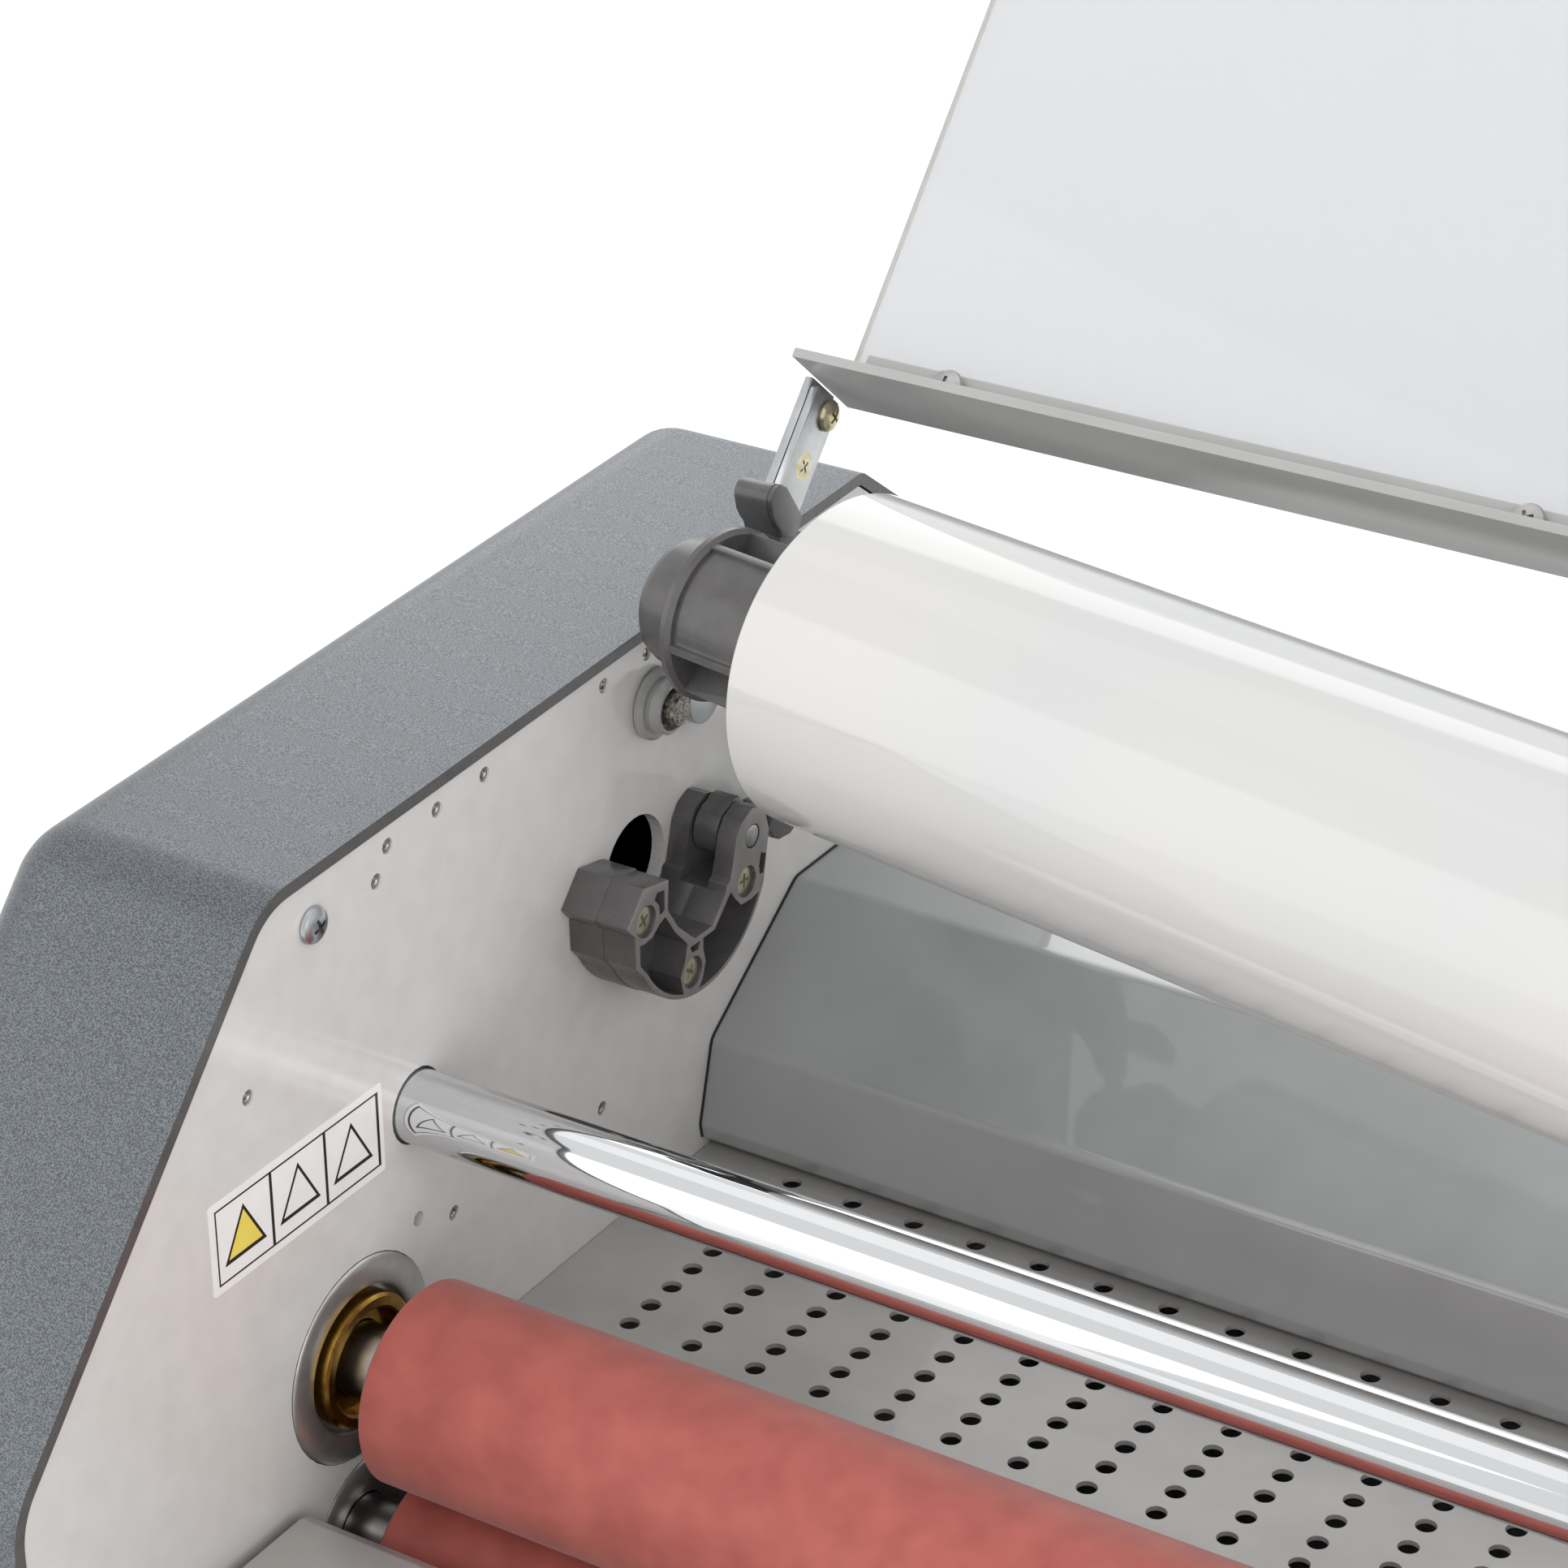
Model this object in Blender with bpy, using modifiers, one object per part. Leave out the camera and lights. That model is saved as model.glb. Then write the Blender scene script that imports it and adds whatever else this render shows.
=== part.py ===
"""Desktop roll laminator with heated silicone rollers, a swing-out film mandrel and a lift-up shield.

Frame: origin under the middle of the machine on the surface that it stands on. X runs along the rollers,
to the operator's right. Y points away from the operator. Z points up. Lengths are metres.

Features between the side plates are given like a workshop drawing: in millimetres, from the datum where
the vent plate's rear row of holes crosses its top face. `yz` turns such a pair into Y and Z in metres.
"""

import math

import bmesh
import bpy
from mathutils import Vector

MM = 0.001
GAP = 0.0003                      # clearance that touching pieces keep

# Machine
PLATE_X = 0.360                   # inner face of each side plate
PLATE_T = 0.004
DATUM_Y = 0.0475
DATUM_Z = 0.200
COVER_BAND = 0.060                # flat width of the side cover's rim
COVER_ROUND = 0.020               # rounding from the rim to the outer face
COVER_WALL = 0.0035
COVER_LIP = 4.0                   # mm, from the plate's outline to the cover's outside
COVER_X = PLATE_X + COVER_BAND + COVER_ROUND
PLATE_CORNERS = [((-183, 165.1), 18), ((-286, 51), 20), ((-286, -35), 20), ((-236, -186), 12),
                 ((186, -186), 12), ((231, -40), 20), ((231, 66), 20), ((88, 173.9), 2)]

# Rollers, in datum millimetres
UPPER_ROLLER = (-157.5, 21.9)
ROLLER_PITCH = 55.0               # height from the lower roller's axis to the upper one's
LOWER_ROLLER = (UPPER_ROLLER[0], UPPER_ROLLER[1] - ROLLER_PITCH)
ROLLER_R = 27.35 * MM
NIP_OPEN = 5.0                    # mm that the lower roller drops
PULL_PITCH = 44.0
NIP_Z = UPPER_ROLLER[1] - ROLLER_PITCH / 2
PULL_UPPER = (160.0, NIP_Z + PULL_PITCH / 2)
PULL_LOWER = (160.0, NIP_Z - PULL_PITCH / 2)
PULL_R = 21.85 * MM
IDLER = (-128.5, 82.9)
IDLER_R = 9.9 * MM

# Drive, outside the right plate
GEAR_X = PLATE_X + PLATE_T + 2 * MM
GEAR_W = 10 * MM
MAIN_TEETH, MAIN_MODULE = 22, 2.5
PULL_TEETH, PULL_MODULE = 22, 2.0
PINION_TEETH = 12
PINION = (UPPER_ROLLER[0] + (MAIN_TEETH + PINION_TEETH) * MAIN_MODULE / 2, UPPER_ROLLER[1])
BELT_X = GEAR_X + GEAR_W + 2 * MM
BELT_W = 8 * MM
PULLEY_MAIN_R = 20.0
PULLEY_PULL_R = PULLEY_MAIN_R * 21.85 / 27.35

# Supply mandrel: lengths along it are measured from its swivel pin
SWIVEL = (-PLATE_X + 16 * MM, -17.9, 183.4)
SWING = math.radians(9.5)         # the mandrel stands this far out of its seat
BOSS_R = 17.4 * MM
BOSS_LEFT = -8.5 * MM
BOSS_RIGHT = 6 * MM
SHAFT_R = 11 * MM
SHAFT_END = 0.694
FLANGE_R = 23.6 * MM
VANE_R = 22.8 * MM
VANE_HALF = 1.2 * MM
POCKET_R = 12.8 * MM
WALL_R = 21.2 * MM
FLANGE = (6.3 * MM, 10.3 * MM)
RIB_END = 0.085
FILM = (0.049, 0.6155)
FILM_R = 44.15 * MM
CORE_R = (24.6 * MM, 28.0 * MM)

# Shield, in millimetres along (s) and behind (q) its arm's front edge, from the arm's lower corner
SHIELD_LEAN = math.radians(48.5)
SHIELD_FOOT = (-7.0, 145.0)
SHIELD_PIVOT_SQ = (6.0, 7.3)
ARM_X = (1.2 * MM, 6.3 * MM)      # from the plate's inner face
ARM_TOP = 98.2
ARM_DEEP = 15.0
BEAM_S = (99.5, 102.4)
BEAM_Q = (-10.5, 27.8)
CLAMP_Q = (2.3, 5.0)
PANEL_Q = (5.3, 8.3)
PANEL_INSET = 10.8 * MM
PANEL_TOP = 290.0
STUB = (-18.0, 151.0)             # magnet that holds the shield when it stands forward


def yz(y_mm, z_mm):
    return DATUM_Y + y_mm * MM, DATUM_Z + z_mm * MM


def clear_scene():
    for obj in list(bpy.data.objects):
        bpy.data.objects.remove(obj, do_unlink=True)


clear_scene()
PARTS = bpy.data.collections.new("roll_laminator")
CUTTERS = bpy.data.collections.new("cutters")
bpy.context.scene.collection.children.link(PARTS)
bpy.context.scene.collection.children.link(CUTTERS)


# ---------------------------------------------------------------- materials

def paint(name, colour, roughness, metallic=0.0, alpha=1.0):
    material = bpy.data.materials.new(name)
    material.use_nodes = True
    shader = material.node_tree.nodes["Principled BSDF"]
    shader.inputs["Base Color"].default_value = (*colour, 1.0)
    shader.inputs["Roughness"].default_value = roughness
    shader.inputs["Metallic"].default_value = metallic
    shader.inputs["Alpha"].default_value = alpha
    return material


PLATE_PAINT = paint("warm_grey_powder_coat", (0.54, 0.54, 0.52), 0.35)
COVER_PAINT = paint("dark_grey_metallic_paint", (0.12, 0.13, 0.15), 0.38, 0.4)
PLENUM_PAINT = paint("mid_grey_paint", (0.33, 0.34, 0.33), 0.35)
VENT_PAINT = paint("light_grey_paint", (0.40, 0.39, 0.38), 0.4)
ZINC = paint("zinc_plated_steel", (0.55, 0.56, 0.57), 0.35, 1.0)
ABS = paint("dark_warm_grey_abs", (0.11, 0.105, 0.10), 0.4)
BLACK = paint("black_plastic", (0.02, 0.02, 0.022), 0.45)
FILM_WHITE = paint("laminating_film", (0.78, 0.78, 0.76), 0.15)
CARD = paint("grey_cardboard", (0.32, 0.26, 0.19), 0.9)
CHROME = paint("chrome_plate", (0.75, 0.76, 0.77), 0.05, 1.0)
SILICONE = paint("red_silicone", (0.40, 0.09, 0.07), 0.65)
BRASS = paint("brass", (0.55, 0.36, 0.12), 0.3, 1.0)
STEEL = paint("turned_steel", (0.50, 0.50, 0.49), 0.3, 1.0)
RUBBER = paint("black_rubber", (0.03, 0.03, 0.03), 0.8)
ALUMINIUM = paint("satin_aluminium", (0.60, 0.61, 0.62), 0.3, 1.0)
ACRYLIC = paint("clear_acrylic", (0.85, 0.87, 0.88), 0.05, 0.0, 0.35)
RED = paint("red_plastic", (0.55, 0.02, 0.015), 0.35)


# ---------------------------------------------------------------- outlines

def grow(corners, distance):
    """Moves each side of a counterclockwise outline outwards, and its roundings with it."""
    grown = []
    for i, (corner, radius) in enumerate(corners):
        before = Vector(corner) - Vector(corners[i - 1][0])
        after = Vector(corners[(i + 1) % len(corners)][0]) - Vector(corner)
        n0 = Vector((before.y, -before.x)).normalized()
        n1 = Vector((after.y, -after.x)).normalized()
        shift = (n0 + n1) * (distance / (1 + n0.dot(n1)))
        grown.append(((corner[0] + shift.x, corner[1] + shift.y), max(radius + distance, 0.5)))
    return grown


def rounded(corners, steps=4):
    """Points of an outline whose corners are arcs."""
    points = []
    for i, (corner, radius) in enumerate(corners):
        here = Vector(corner)
        back = (Vector(corners[i - 1][0]) - here).normalized()
        ahead = (Vector(corners[(i + 1) % len(corners)][0]) - here).normalized()
        half = back.angle(ahead) / 2
        reach = radius / math.tan(half)
        centre = here + (back + ahead).normalized() * (radius / math.sin(half))
        start = here + back * reach - centre
        sweep = start.angle_signed(here + ahead * reach - centre)
        for k in range(steps + 1):
            turn = -sweep * k / steps
            points.append((centre.x + start.x * math.cos(turn) - start.y * math.sin(turn),
                           centre.y + start.x * math.sin(turn) + start.y * math.cos(turn)))
    return points


def ring(centre, radius, sides):
    return [(centre[0] + radius * math.cos(2 * math.pi * k / sides),
             centre[1] + radius * math.sin(2 * math.pi * k / sides)) for k in range(sides)]


def slot(centre, radius, drop, sides):
    """A round hole stretched downwards by drop."""
    half = sides // 2
    top = [math.pi * k / half for k in range(half + 1)]
    points = [(centre[0] + radius * math.cos(a), centre[1] + radius * math.sin(a)) for a in top]
    return points + [(2 * centre[0] - y, 2 * centre[1] - drop - z) for y, z in points]


def arc(centre, radius, first, last, steps):
    return [(centre[0] + radius * math.cos(math.radians(first + (last - first) * k / steps)),
             centre[1] + radius * math.sin(math.radians(first + (last - first) * k / steps)))
            for k in range(steps + 1)]


def shield_yz(s, q):
    """A point on the shield, from its arm's own millimetres to datum millimetres."""
    along = (math.cos(SHIELD_LEAN), math.sin(SHIELD_LEAN))
    return (SHIELD_FOOT[0] + s * along[0] + q * along[1],
            SHIELD_FOOT[1] + s * along[1] - q * along[0])


# ---------------------------------------------------------------- solids

def finish(obj, material, smooth=30):
    obj.data.materials.clear()
    obj.data.materials.append(material)
    obj.data.shade_smooth()
    obj.data.set_sharp_from_angle(angle=math.radians(smooth))
    return obj


def link(obj, collection=PARTS):
    for holder in list(obj.users_collection):
        holder.objects.unlink(obj)
    collection.objects.link(obj)
    if collection is CUTTERS:
        obj.hide_render = True
        obj.display_type = "WIRE"
    return obj


def weld(mesh):
    """Joins points that meet and turns every face outwards."""
    work = bmesh.new()
    work.from_mesh(mesh)
    bmesh.ops.remove_doubles(work, verts=work.verts, dist=1e-6)
    bmesh.ops.recalc_face_normals(work, faces=work.faces)
    work.to_mesh(mesh)
    work.free()


def strip(work, near, far):
    """Faces between two loops with the same number of points."""
    for i in range(len(near)):
        j = (i + 1) % len(near)
        work.faces.new((near[i], near[j], far[j], far[i]))


def mesh_from_curve(obj, collection):
    """Swaps a curve for the mesh that it makes, with its caps welded on."""
    link(obj, collection)
    graph = bpy.context.evaluated_depsgraph_get()
    graph.update()
    mesh = bpy.data.meshes.new_from_object(obj.evaluated_get(graph))
    solid = bpy.data.objects.new(obj.name + "_solid", mesh)
    solid.matrix_world = obj.matrix_world.copy()
    name = obj.name
    bpy.data.objects.remove(obj, do_unlink=True)
    solid.name = name
    link(solid, collection)
    weld(mesh)
    return solid


def plate(name, loops, thickness, location, rotation, material, collection=PARTS):
    """Flat piece: outlines in metres in its own plane, the first one outside and the rest holes."""
    curve = bpy.data.curves.new(name, "CURVE")
    curve.dimensions = "2D"
    curve.fill_mode = "BOTH"
    curve.extrude = thickness / 2
    for loop in loops:
        spline = curve.splines.new("POLY")
        spline.points.add(len(loop) - 1)
        for point, (u, v) in zip(spline.points, loop):
            point.co = (u, v, 0, 1)
        spline.use_cyclic_u = True
    obj = bpy.data.objects.new(name, curve)
    obj.location = location
    obj.rotation_euler = rotation
    solid = mesh_from_curve(obj, collection)
    return finish(solid, material)


def prism(name, loops, x0, x1, material, about=(0.0, 0.0), collection=PARTS):
    """Piece with one YZ section along X. Loops and the point that it turns about are datum millimetres."""
    local = [[((y - about[0]) * MM, (z - about[1]) * MM) for y, z in loop] for loop in loops]
    location = ((x0 + x1) / 2, *yz(*about))
    turn = (math.radians(90), 0, math.radians(90))
    return plate(name, local, abs(x1 - x0), location, turn, material, collection)


def turned(name, profile, location, rotation, material, steps=32, closed=False, collection=PARTS):
    """Turned piece about its own Z. The profile is (radius, height) pairs, down the outside."""
    mesh = bpy.data.meshes.new(name)
    count = len(profile)
    edges = [(i, i + 1) for i in range(count - 1)] + ([(count - 1, 0)] if closed else [])
    mesh.from_pydata([(r, 0, h) for r, h in profile], edges, [])
    obj = bpy.data.objects.new(name, mesh)
    link(obj, collection)
    obj.location = location
    obj.rotation_euler = rotation
    screw = obj.modifiers.new("turn", "SCREW")
    screw.steps = steps
    screw.render_steps = steps
    screw.use_merge_vertices = True
    screw.merge_threshold = 1e-5
    screw.use_normal_calculate = True
    graph = bpy.context.evaluated_depsgraph_get()
    graph.update()
    made = bpy.data.meshes.new_from_object(obj.evaluated_get(graph))
    obj.modifiers.clear()
    obj.data = made
    weld(made)
    return finish(obj, material)


ALONG_X = (0, math.radians(90), 0)
ALONG_MANDREL = (0, math.radians(90), -SWING)


def rod(name, x0, x1, centre, radius, material, steps=32, collection=PARTS):
    half = (x1 - x0) / 2
    place = ((x0 + x1) / 2, *yz(*centre))
    profile = [(0, half), (radius, half), (radius, -half), (0, -half)]
    return turned(name, profile, place, ALONG_X, material, steps, collection=collection)


def tube(name, x0, x1, centre, outer, inner, material, steps=32):
    half = (x1 - x0) / 2
    place = ((x0 + x1) / 2, *yz(*centre))
    profile = [(inner, half), (outer, half), (outer, -half), (inner, -half)]
    return turned(name, profile, place, ALONG_X, material, steps, closed=True)


def box(name, low, high, material, collection=PARTS):
    bpy.ops.mesh.primitive_cube_add(size=1)
    obj = bpy.context.object
    obj.name = name
    size = [high[i] - low[i] for i in range(3)]
    obj.data.transform(((size[0], 0, 0, 0), (0, size[1], 0, 0), (0, 0, size[2], 0), (0, 0, 0, 1)))
    obj.location = [(low[i] + high[i]) / 2 for i in range(3)]
    link(obj, collection)
    return finish(obj, material)


def combine(obj, other, operation):
    """Adds or cuts another mesh, and leaves the other among the cutters."""
    link(other, CUTTERS)
    step = obj.modifiers.new(operation.lower(), "BOOLEAN")
    step.operation = operation
    step.object = other
    step.solver = "EXACT"
    return obj


def cut(obj, other):
    return combine(obj, other, "DIFFERENCE")


def join(obj, other):
    return combine(obj, other, "UNION")


def empty(name, location, rotation=(0, 0, 0)):
    holder = bpy.data.objects.new(name, None)
    PARTS.objects.link(holder)
    holder.location = location
    holder.rotation_euler = rotation
    return holder


def hang_on(child, holder):
    """Parents a piece and keeps it where it is."""
    bpy.context.view_layer.update()
    child.parent = holder
    child.matrix_parent_inverse = holder.matrix_world.inverted()


def pin(lever, holder, centre, radius, pin_x, hole_x):
    """Gives a lever a pin, and the piece that holds it a hole with running room."""
    name = lever.name + "_pin"
    join(lever, rod(name, *sorted(pin_x), centre, radius * MM, STEEL, 16, CUTTERS))
    hole = rod(name + "_hole", *sorted(hole_x), centre, radius * MM + GAP, STEEL, 16, CUTTERS)
    cut(bpy.data.objects[holder], hole)


# ---------------------------------------------------------------- frame

RIVET_HOLES = [(-140.1, 153.6), (-134.9, 161.2), (-114.2, 162.0), (-93.7, 162.8), (-40.0, 165.2),
               (-19.5, 166.2), (-194.4, 119.6), (-46.5, 38.8), (-115.2, 42.8), (-130.4, 49.4)]
LIGHTENING_HOLE = (-27.6, 106.1)
RING_UPPER_R = 28.6
RING_LOWER_R = 24.0
SHAFT_HOLE_R = 8.4
PIVOT_HOLE_R = 5.0


def side_plates():
    outline = rounded(grow(PLATE_CORNERS, 0))
    holes = [ring(UPPER_ROLLER, RING_UPPER_R + 0.3, 40),
             slot(LOWER_ROLLER, RING_LOWER_R + 0.3, NIP_OPEN, 32),
             ring(IDLER, 10.6, 24), ring(LIGHTENING_HOLE, 14.1, 32),
             ring(PULL_UPPER, SHAFT_HOLE_R, 16), ring(PULL_LOWER, SHAFT_HOLE_R, 16),
             ring(shield_yz(*SHIELD_PIVOT_SQ), PIVOT_HOLE_R, 16), ring(STUB, PIVOT_HOLE_R, 16)]
    holes += [ring(centre, 2.2, 10) for centre in RIVET_HOLES]
    for side, name in ((-1, "side_plate_left"), (1, "side_plate_right")):
        faces = sorted((side * PLATE_X, side * (PLATE_X + PLATE_T)))
        prism(name, [outline] + holes, faces[0], faces[1], PLATE_PAINT)


def side_cover(name, side, lever_slot):
    """A tray: an outer face with a rounded edge, and a rim that wraps over the side plate."""
    work = bmesh.new()
    rims = []
    for inset in (0.0, COVER_WALL):
        radius = COVER_ROUND - inset
        levels = [(PLATE_X - 0.6 * MM, inset)]
        for k in range(6):
            turn = math.radians(90) * k / 5
            levels.append((COVER_X - COVER_ROUND + radius * math.sin(turn),
                           inset + radius * (1 - math.cos(turn))))
        loops = [[work.verts.new((side * x, *yz(*point)))
                  for point in rounded(grow(PLATE_CORNERS, COVER_LIP - inward / MM))]
                 for x, inward in levels]
        for near, far in zip(loops, loops[1:]):
            strip(work, near, far)
        work.faces.new(loops[-1])
        rims.append(loops[0])
    strip(work, *rims)
    mesh = bpy.data.meshes.new(name)
    work.to_mesh(mesh)
    work.free()
    weld(mesh)
    obj = bpy.data.objects.new(name, mesh)
    link(obj)
    if lever_slot:
        low = (LEVER_X[0] - 3 * MM, *yz(PRESSURE_PIVOT[0] - 54, 160))
        high = (LEVER_X[1] + 3 * MM, *yz(PRESSURE_PIVOT[0] + 12, 190))
        cut(obj, box("lever_slot_cutter", low, high, COVER_PAINT, CUTTERS))
    return finish(obj, COVER_PAINT)


def sheet(name, path, thickness, x_half, material):
    """Bent sheet: a YZ centre path given a thickness, along the whole width between the plates."""
    left, right = [], []
    for i, point in enumerate(path):
        here = Vector(point)
        into = (here - Vector(path[i - 1])).normalized() if i else None
        out = (Vector(path[i + 1]) - here).normalized() if i < len(path) - 1 else None
        n0 = Vector((-into.y, into.x)) if into else Vector((-out.y, out.x))
        n1 = Vector((-out.y, out.x)) if out else n0
        shift = (n0 + n1) * (thickness / 2 / (1 + n0.dot(n1)))
        left.append((here.x + shift.x, here.y + shift.y))
        right.append((here.x - shift.x, here.y - shift.y))
    return prism(name, [left + right[::-1]], -x_half, x_half, material)


def frame_panels():
    inner = PLATE_X - GAP
    sheet("base_pan", [(-226, -168), (-226, -184.5), (176, -184.5), (176, -168)], 2.0, inner, ZINC)
    sheet("front_panel", [(-262, -13), (-279, -20), (-280, -36), (-233, -177), (-229, -177)], 1.6,
          inner, COVER_PAINT)
    sheet("perforated_plate", [(-118, -13), (-118, -0.75), (126, -0.75), (126, -8)], 1.5, inner, VENT_PAINT)
    plenum = [(6.8, 1.2), (2.6, 4.2), (1.8, 8.5), (8.4, 33.2), (53.2, 64.0), (128, 64.0), (131, 61.0),
              (131, 30)]
    sheet("plenum_cover", plenum, 1.6, inner, PLENUM_PAINT)


def rear_panel():
    """Closes the back below the web's exit, with the cut-out for the mains inlet."""
    sheet("rear_panel", [(202, -31), (REAR_Y, -31), (REAR_Y, -176)], 1.6, PLATE_X - GAP, ZINC)
    low = (INLET_X - 23 * MM, *yz(REAR_Y - 5, INLET_Z - 13))
    high = (INLET_X + 23 * MM, *yz(REAR_Y + 5, INLET_Z + 13))
    cut(bpy.data.objects["rear_panel"], box("inlet_cutter", low, high, ZINC, CUTTERS))


def feet():
    for name, x, y in (("foot_front_left", -1, -205), ("foot_front_right", 1, -205),
                       ("foot_rear_left", -1, 155), ("foot_rear_right", 1, 155)):
        top = DATUM_Z - 185.5 * MM - GAP
        place = (x * 0.315, DATUM_Y + y * MM, 0)
        profile = [(0, top), (11 * MM, top), (15 * MM, 3 * MM), (14 * MM, 0), (0, 0)]
        turned(name, profile, place, (0, 0, 0), RUBBER, 24)


def feed_table():
    path = [(-187.5, -8.6), (-192, -7.0), (-318, -7.0), (-326, -9.5), (-329, -16), (-329, -24)]
    sheet("feed_table", path[::-1], 2.0, PLATE_X - 4 * MM, VENT_PAINT)


# ---------------------------------------------------------------- roller group

def bearings():
    for side, hand in ((-1, "left"), (1, "right")):
        faces = sorted((side * (PLATE_X - 0.5 * MM), side * (PLATE_X + PLATE_T)))
        tube("bearing_ring_upper_" + hand, faces[0], faces[1], UPPER_ROLLER, RING_UPPER_R * MM,
             15.6 * MM, STEEL, 40)
        faces = sorted((side * (PLATE_X - 0.5 * MM), side * (PLATE_X + PLATE_T)))
        tube("bearing_ring_lower_" + hand, faces[0], faces[1], LOWER_ROLLER, RING_LOWER_R * MM,
             10.3 * MM, STEEL, 32)
        faces = sorted((side * (PLATE_X - 3 * MM), side * (PLATE_X + PLATE_T)))
        tube("bush_upper_" + hand, faces[0], faces[1], UPPER_ROLLER, 15.3 * MM, 10.3 * MM, BRASS, 32)


def journalled_core(name, centre, body_r, body_half, journal_r, ends, material):
    """A solid roller core with a thinner journal at each end."""
    left, right = ends
    place = (0, *yz(*centre))
    profile = [(0, right), (journal_r, right), (journal_r, body_half), (body_r, body_half),
               (body_r, -body_half), (journal_r, -body_half), (journal_r, left), (0, left)]
    return turned(name, profile, place, ALONG_X, material, 32)


def heated_rollers():
    body = PLATE_X - 19 * MM
    for level, centre, right in (("upper", UPPER_ROLLER, BELT_X + BELT_W + 2 * MM),
                                 ("lower", LOWER_ROLLER, GEAR_X + GEAR_W + 2 * MM)):
        left = -(PLATE_X + PLATE_T + 4 * MM)
        journalled_core(level + "_roller_core", centre, 22 * MM, body, 10 * MM, (left, right), STEEL)
        tube(level + "_roller_sleeve", -body, body, centre, ROLLER_R, 22.3 * MM, SILICONE, 40)


def pull_rollers():
    body = PLATE_X - 12 * MM
    for level, centre, right in (("upper", PULL_UPPER, BELT_X + BELT_W + 2 * MM),
                                 ("lower", PULL_LOWER, GEAR_X + GEAR_W + 2 * MM)):
        left = -(PLATE_X + PLATE_T + 4 * MM)
        journalled_core("pull_roller_" + level, centre, PULL_R, body, 8 * MM, (left, right), RUBBER)


def idler_bar():
    end = PLATE_X + PLATE_T + 3 * MM
    rod("idler_bar", -end, end, IDLER, IDLER_R, CHROME, 40)


# ---------------------------------------------------------------- drive

def gear_outline(centre, teeth, module, first_tooth):
    """Straight-sided teeth: four points a tooth, slimmer than the gaps they run in."""
    pitch = teeth * module / 2
    points = []
    for k in range(teeth):
        middle = first_tooth + 2 * math.pi * k / teeth
        quarter = math.pi / teeth / 2
        for radius, turn in ((pitch - 1.2 * module, -1.5), (pitch + 0.8 * module, -0.45),
                             (pitch + 0.8 * module, 0.45), (pitch - 1.2 * module, 1.5)):
            angle = middle + turn * quarter
            points.append((centre[0] + radius * math.cos(angle), centre[1] + radius * math.sin(angle)))
    return points


def gear(name, centre, teeth, module, first_tooth, bore, width_end, material):
    return prism(name, [gear_outline(centre, teeth, module, first_tooth), ring(centre, bore, 24)],
                 GEAR_X, width_end, material, about=centre)


def drive_train():
    up, down, tooth = math.pi / 2, -math.pi / 2, 2 * math.pi / MAIN_TEETH
    face = GEAR_X + GEAR_W
    upper = gear("drive_gear_upper", UPPER_ROLLER, MAIN_TEETH, MAIN_MODULE, down, 10.3, face, STEEL)
    hub = prism("hub_upper", [ring(UPPER_ROLLER, PULLEY_MAIN_R, 32), ring(UPPER_ROLLER, 10.3, 24)],
                face - 1 * MM, BELT_X + BELT_W, STEEL, about=UPPER_ROLLER)
    join(upper, hub)
    gear("drive_gear_lower", LOWER_ROLLER, MAIN_TEETH, MAIN_MODULE, up + tooth / 2, 10.3, face, STEEL)
    upper = gear("pull_gear_upper", PULL_UPPER, PULL_TEETH, PULL_MODULE, down, 8.3, face, STEEL)
    hub = prism("hub_pull", [ring(PULL_UPPER, PULLEY_PULL_R, 32), ring(PULL_UPPER, 8.3, 24)],
                face - 1 * MM, BELT_X + BELT_W, STEEL, about=PULL_UPPER)
    join(upper, hub)
    gear("pull_gear_lower", PULL_LOWER, PULL_TEETH, PULL_MODULE, up + tooth / 2, 8.3, face, STEEL)


def belt():
    """A loop round both pulleys, straight between them."""
    loops = []
    for extra in (2.3, 0.3):
        r0, r1 = PULLEY_MAIN_R + extra, PULLEY_PULL_R + extra
        span = Vector(PULL_UPPER) - Vector(UPPER_ROLLER)
        lean = math.degrees(math.atan2(span.y, span.x))
        spread = math.degrees(math.acos((r0 - r1) / span.length))
        loops.append(arc(UPPER_ROLLER, r0, lean + spread, lean + 360 - spread, 16)
                     + arc(PULL_UPPER, r1, lean - spread, lean + spread, 14))
    prism("drive_belt", loops, BELT_X + 1 * MM, BELT_X + BELT_W - 1 * MM, RUBBER)


def motor():
    face = BELT_X + BELT_W + 4 * MM
    pinion = prism("motor_pinion", [gear_outline(PINION, PINION_TEETH, MAIN_MODULE, math.pi)],
                   GEAR_X, GEAR_X + GEAR_W, STEEL, about=PINION)
    join(pinion, rod("pinion_shaft", GEAR_X + 2 * MM, face - GAP, PINION, 4 * MM, STEEL, 16, CUTTERS))
    y, z = yz(*PINION)
    low = (face, y - 36 * MM, z - 34 * MM)
    high = (face + 22 * MM, y + 36 * MM, z + 40 * MM)
    body = box("motor", low, high, ZINC)
    join(body, rod("motor_can", face + 20 * MM, face + 36 * MM, PINION, 28 * MM, ZINC, 32, CUTTERS))
    for leg, (dy, dz) in enumerate(((30, 34), (30, -28), (-28, 36))):
        centre = (PINION[0] + dy, PINION[1] + dz)
        join(body, rod("motor_leg_%d" % leg, PLATE_X + PLATE_T + GAP, face + 2 * MM, centre, 4 * MM,
                       ZINC, 16, CUTTERS))


# ---------------------------------------------------------------- supply mandrel

def on_mandrel(distance):
    """A point on the mandrel's axis, in metres from its swivel pin."""
    y, z = yz(SWIVEL[1], SWIVEL[2])
    return (SWIVEL[0] + distance * math.cos(SWING), y - distance * math.sin(SWING), z)


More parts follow.
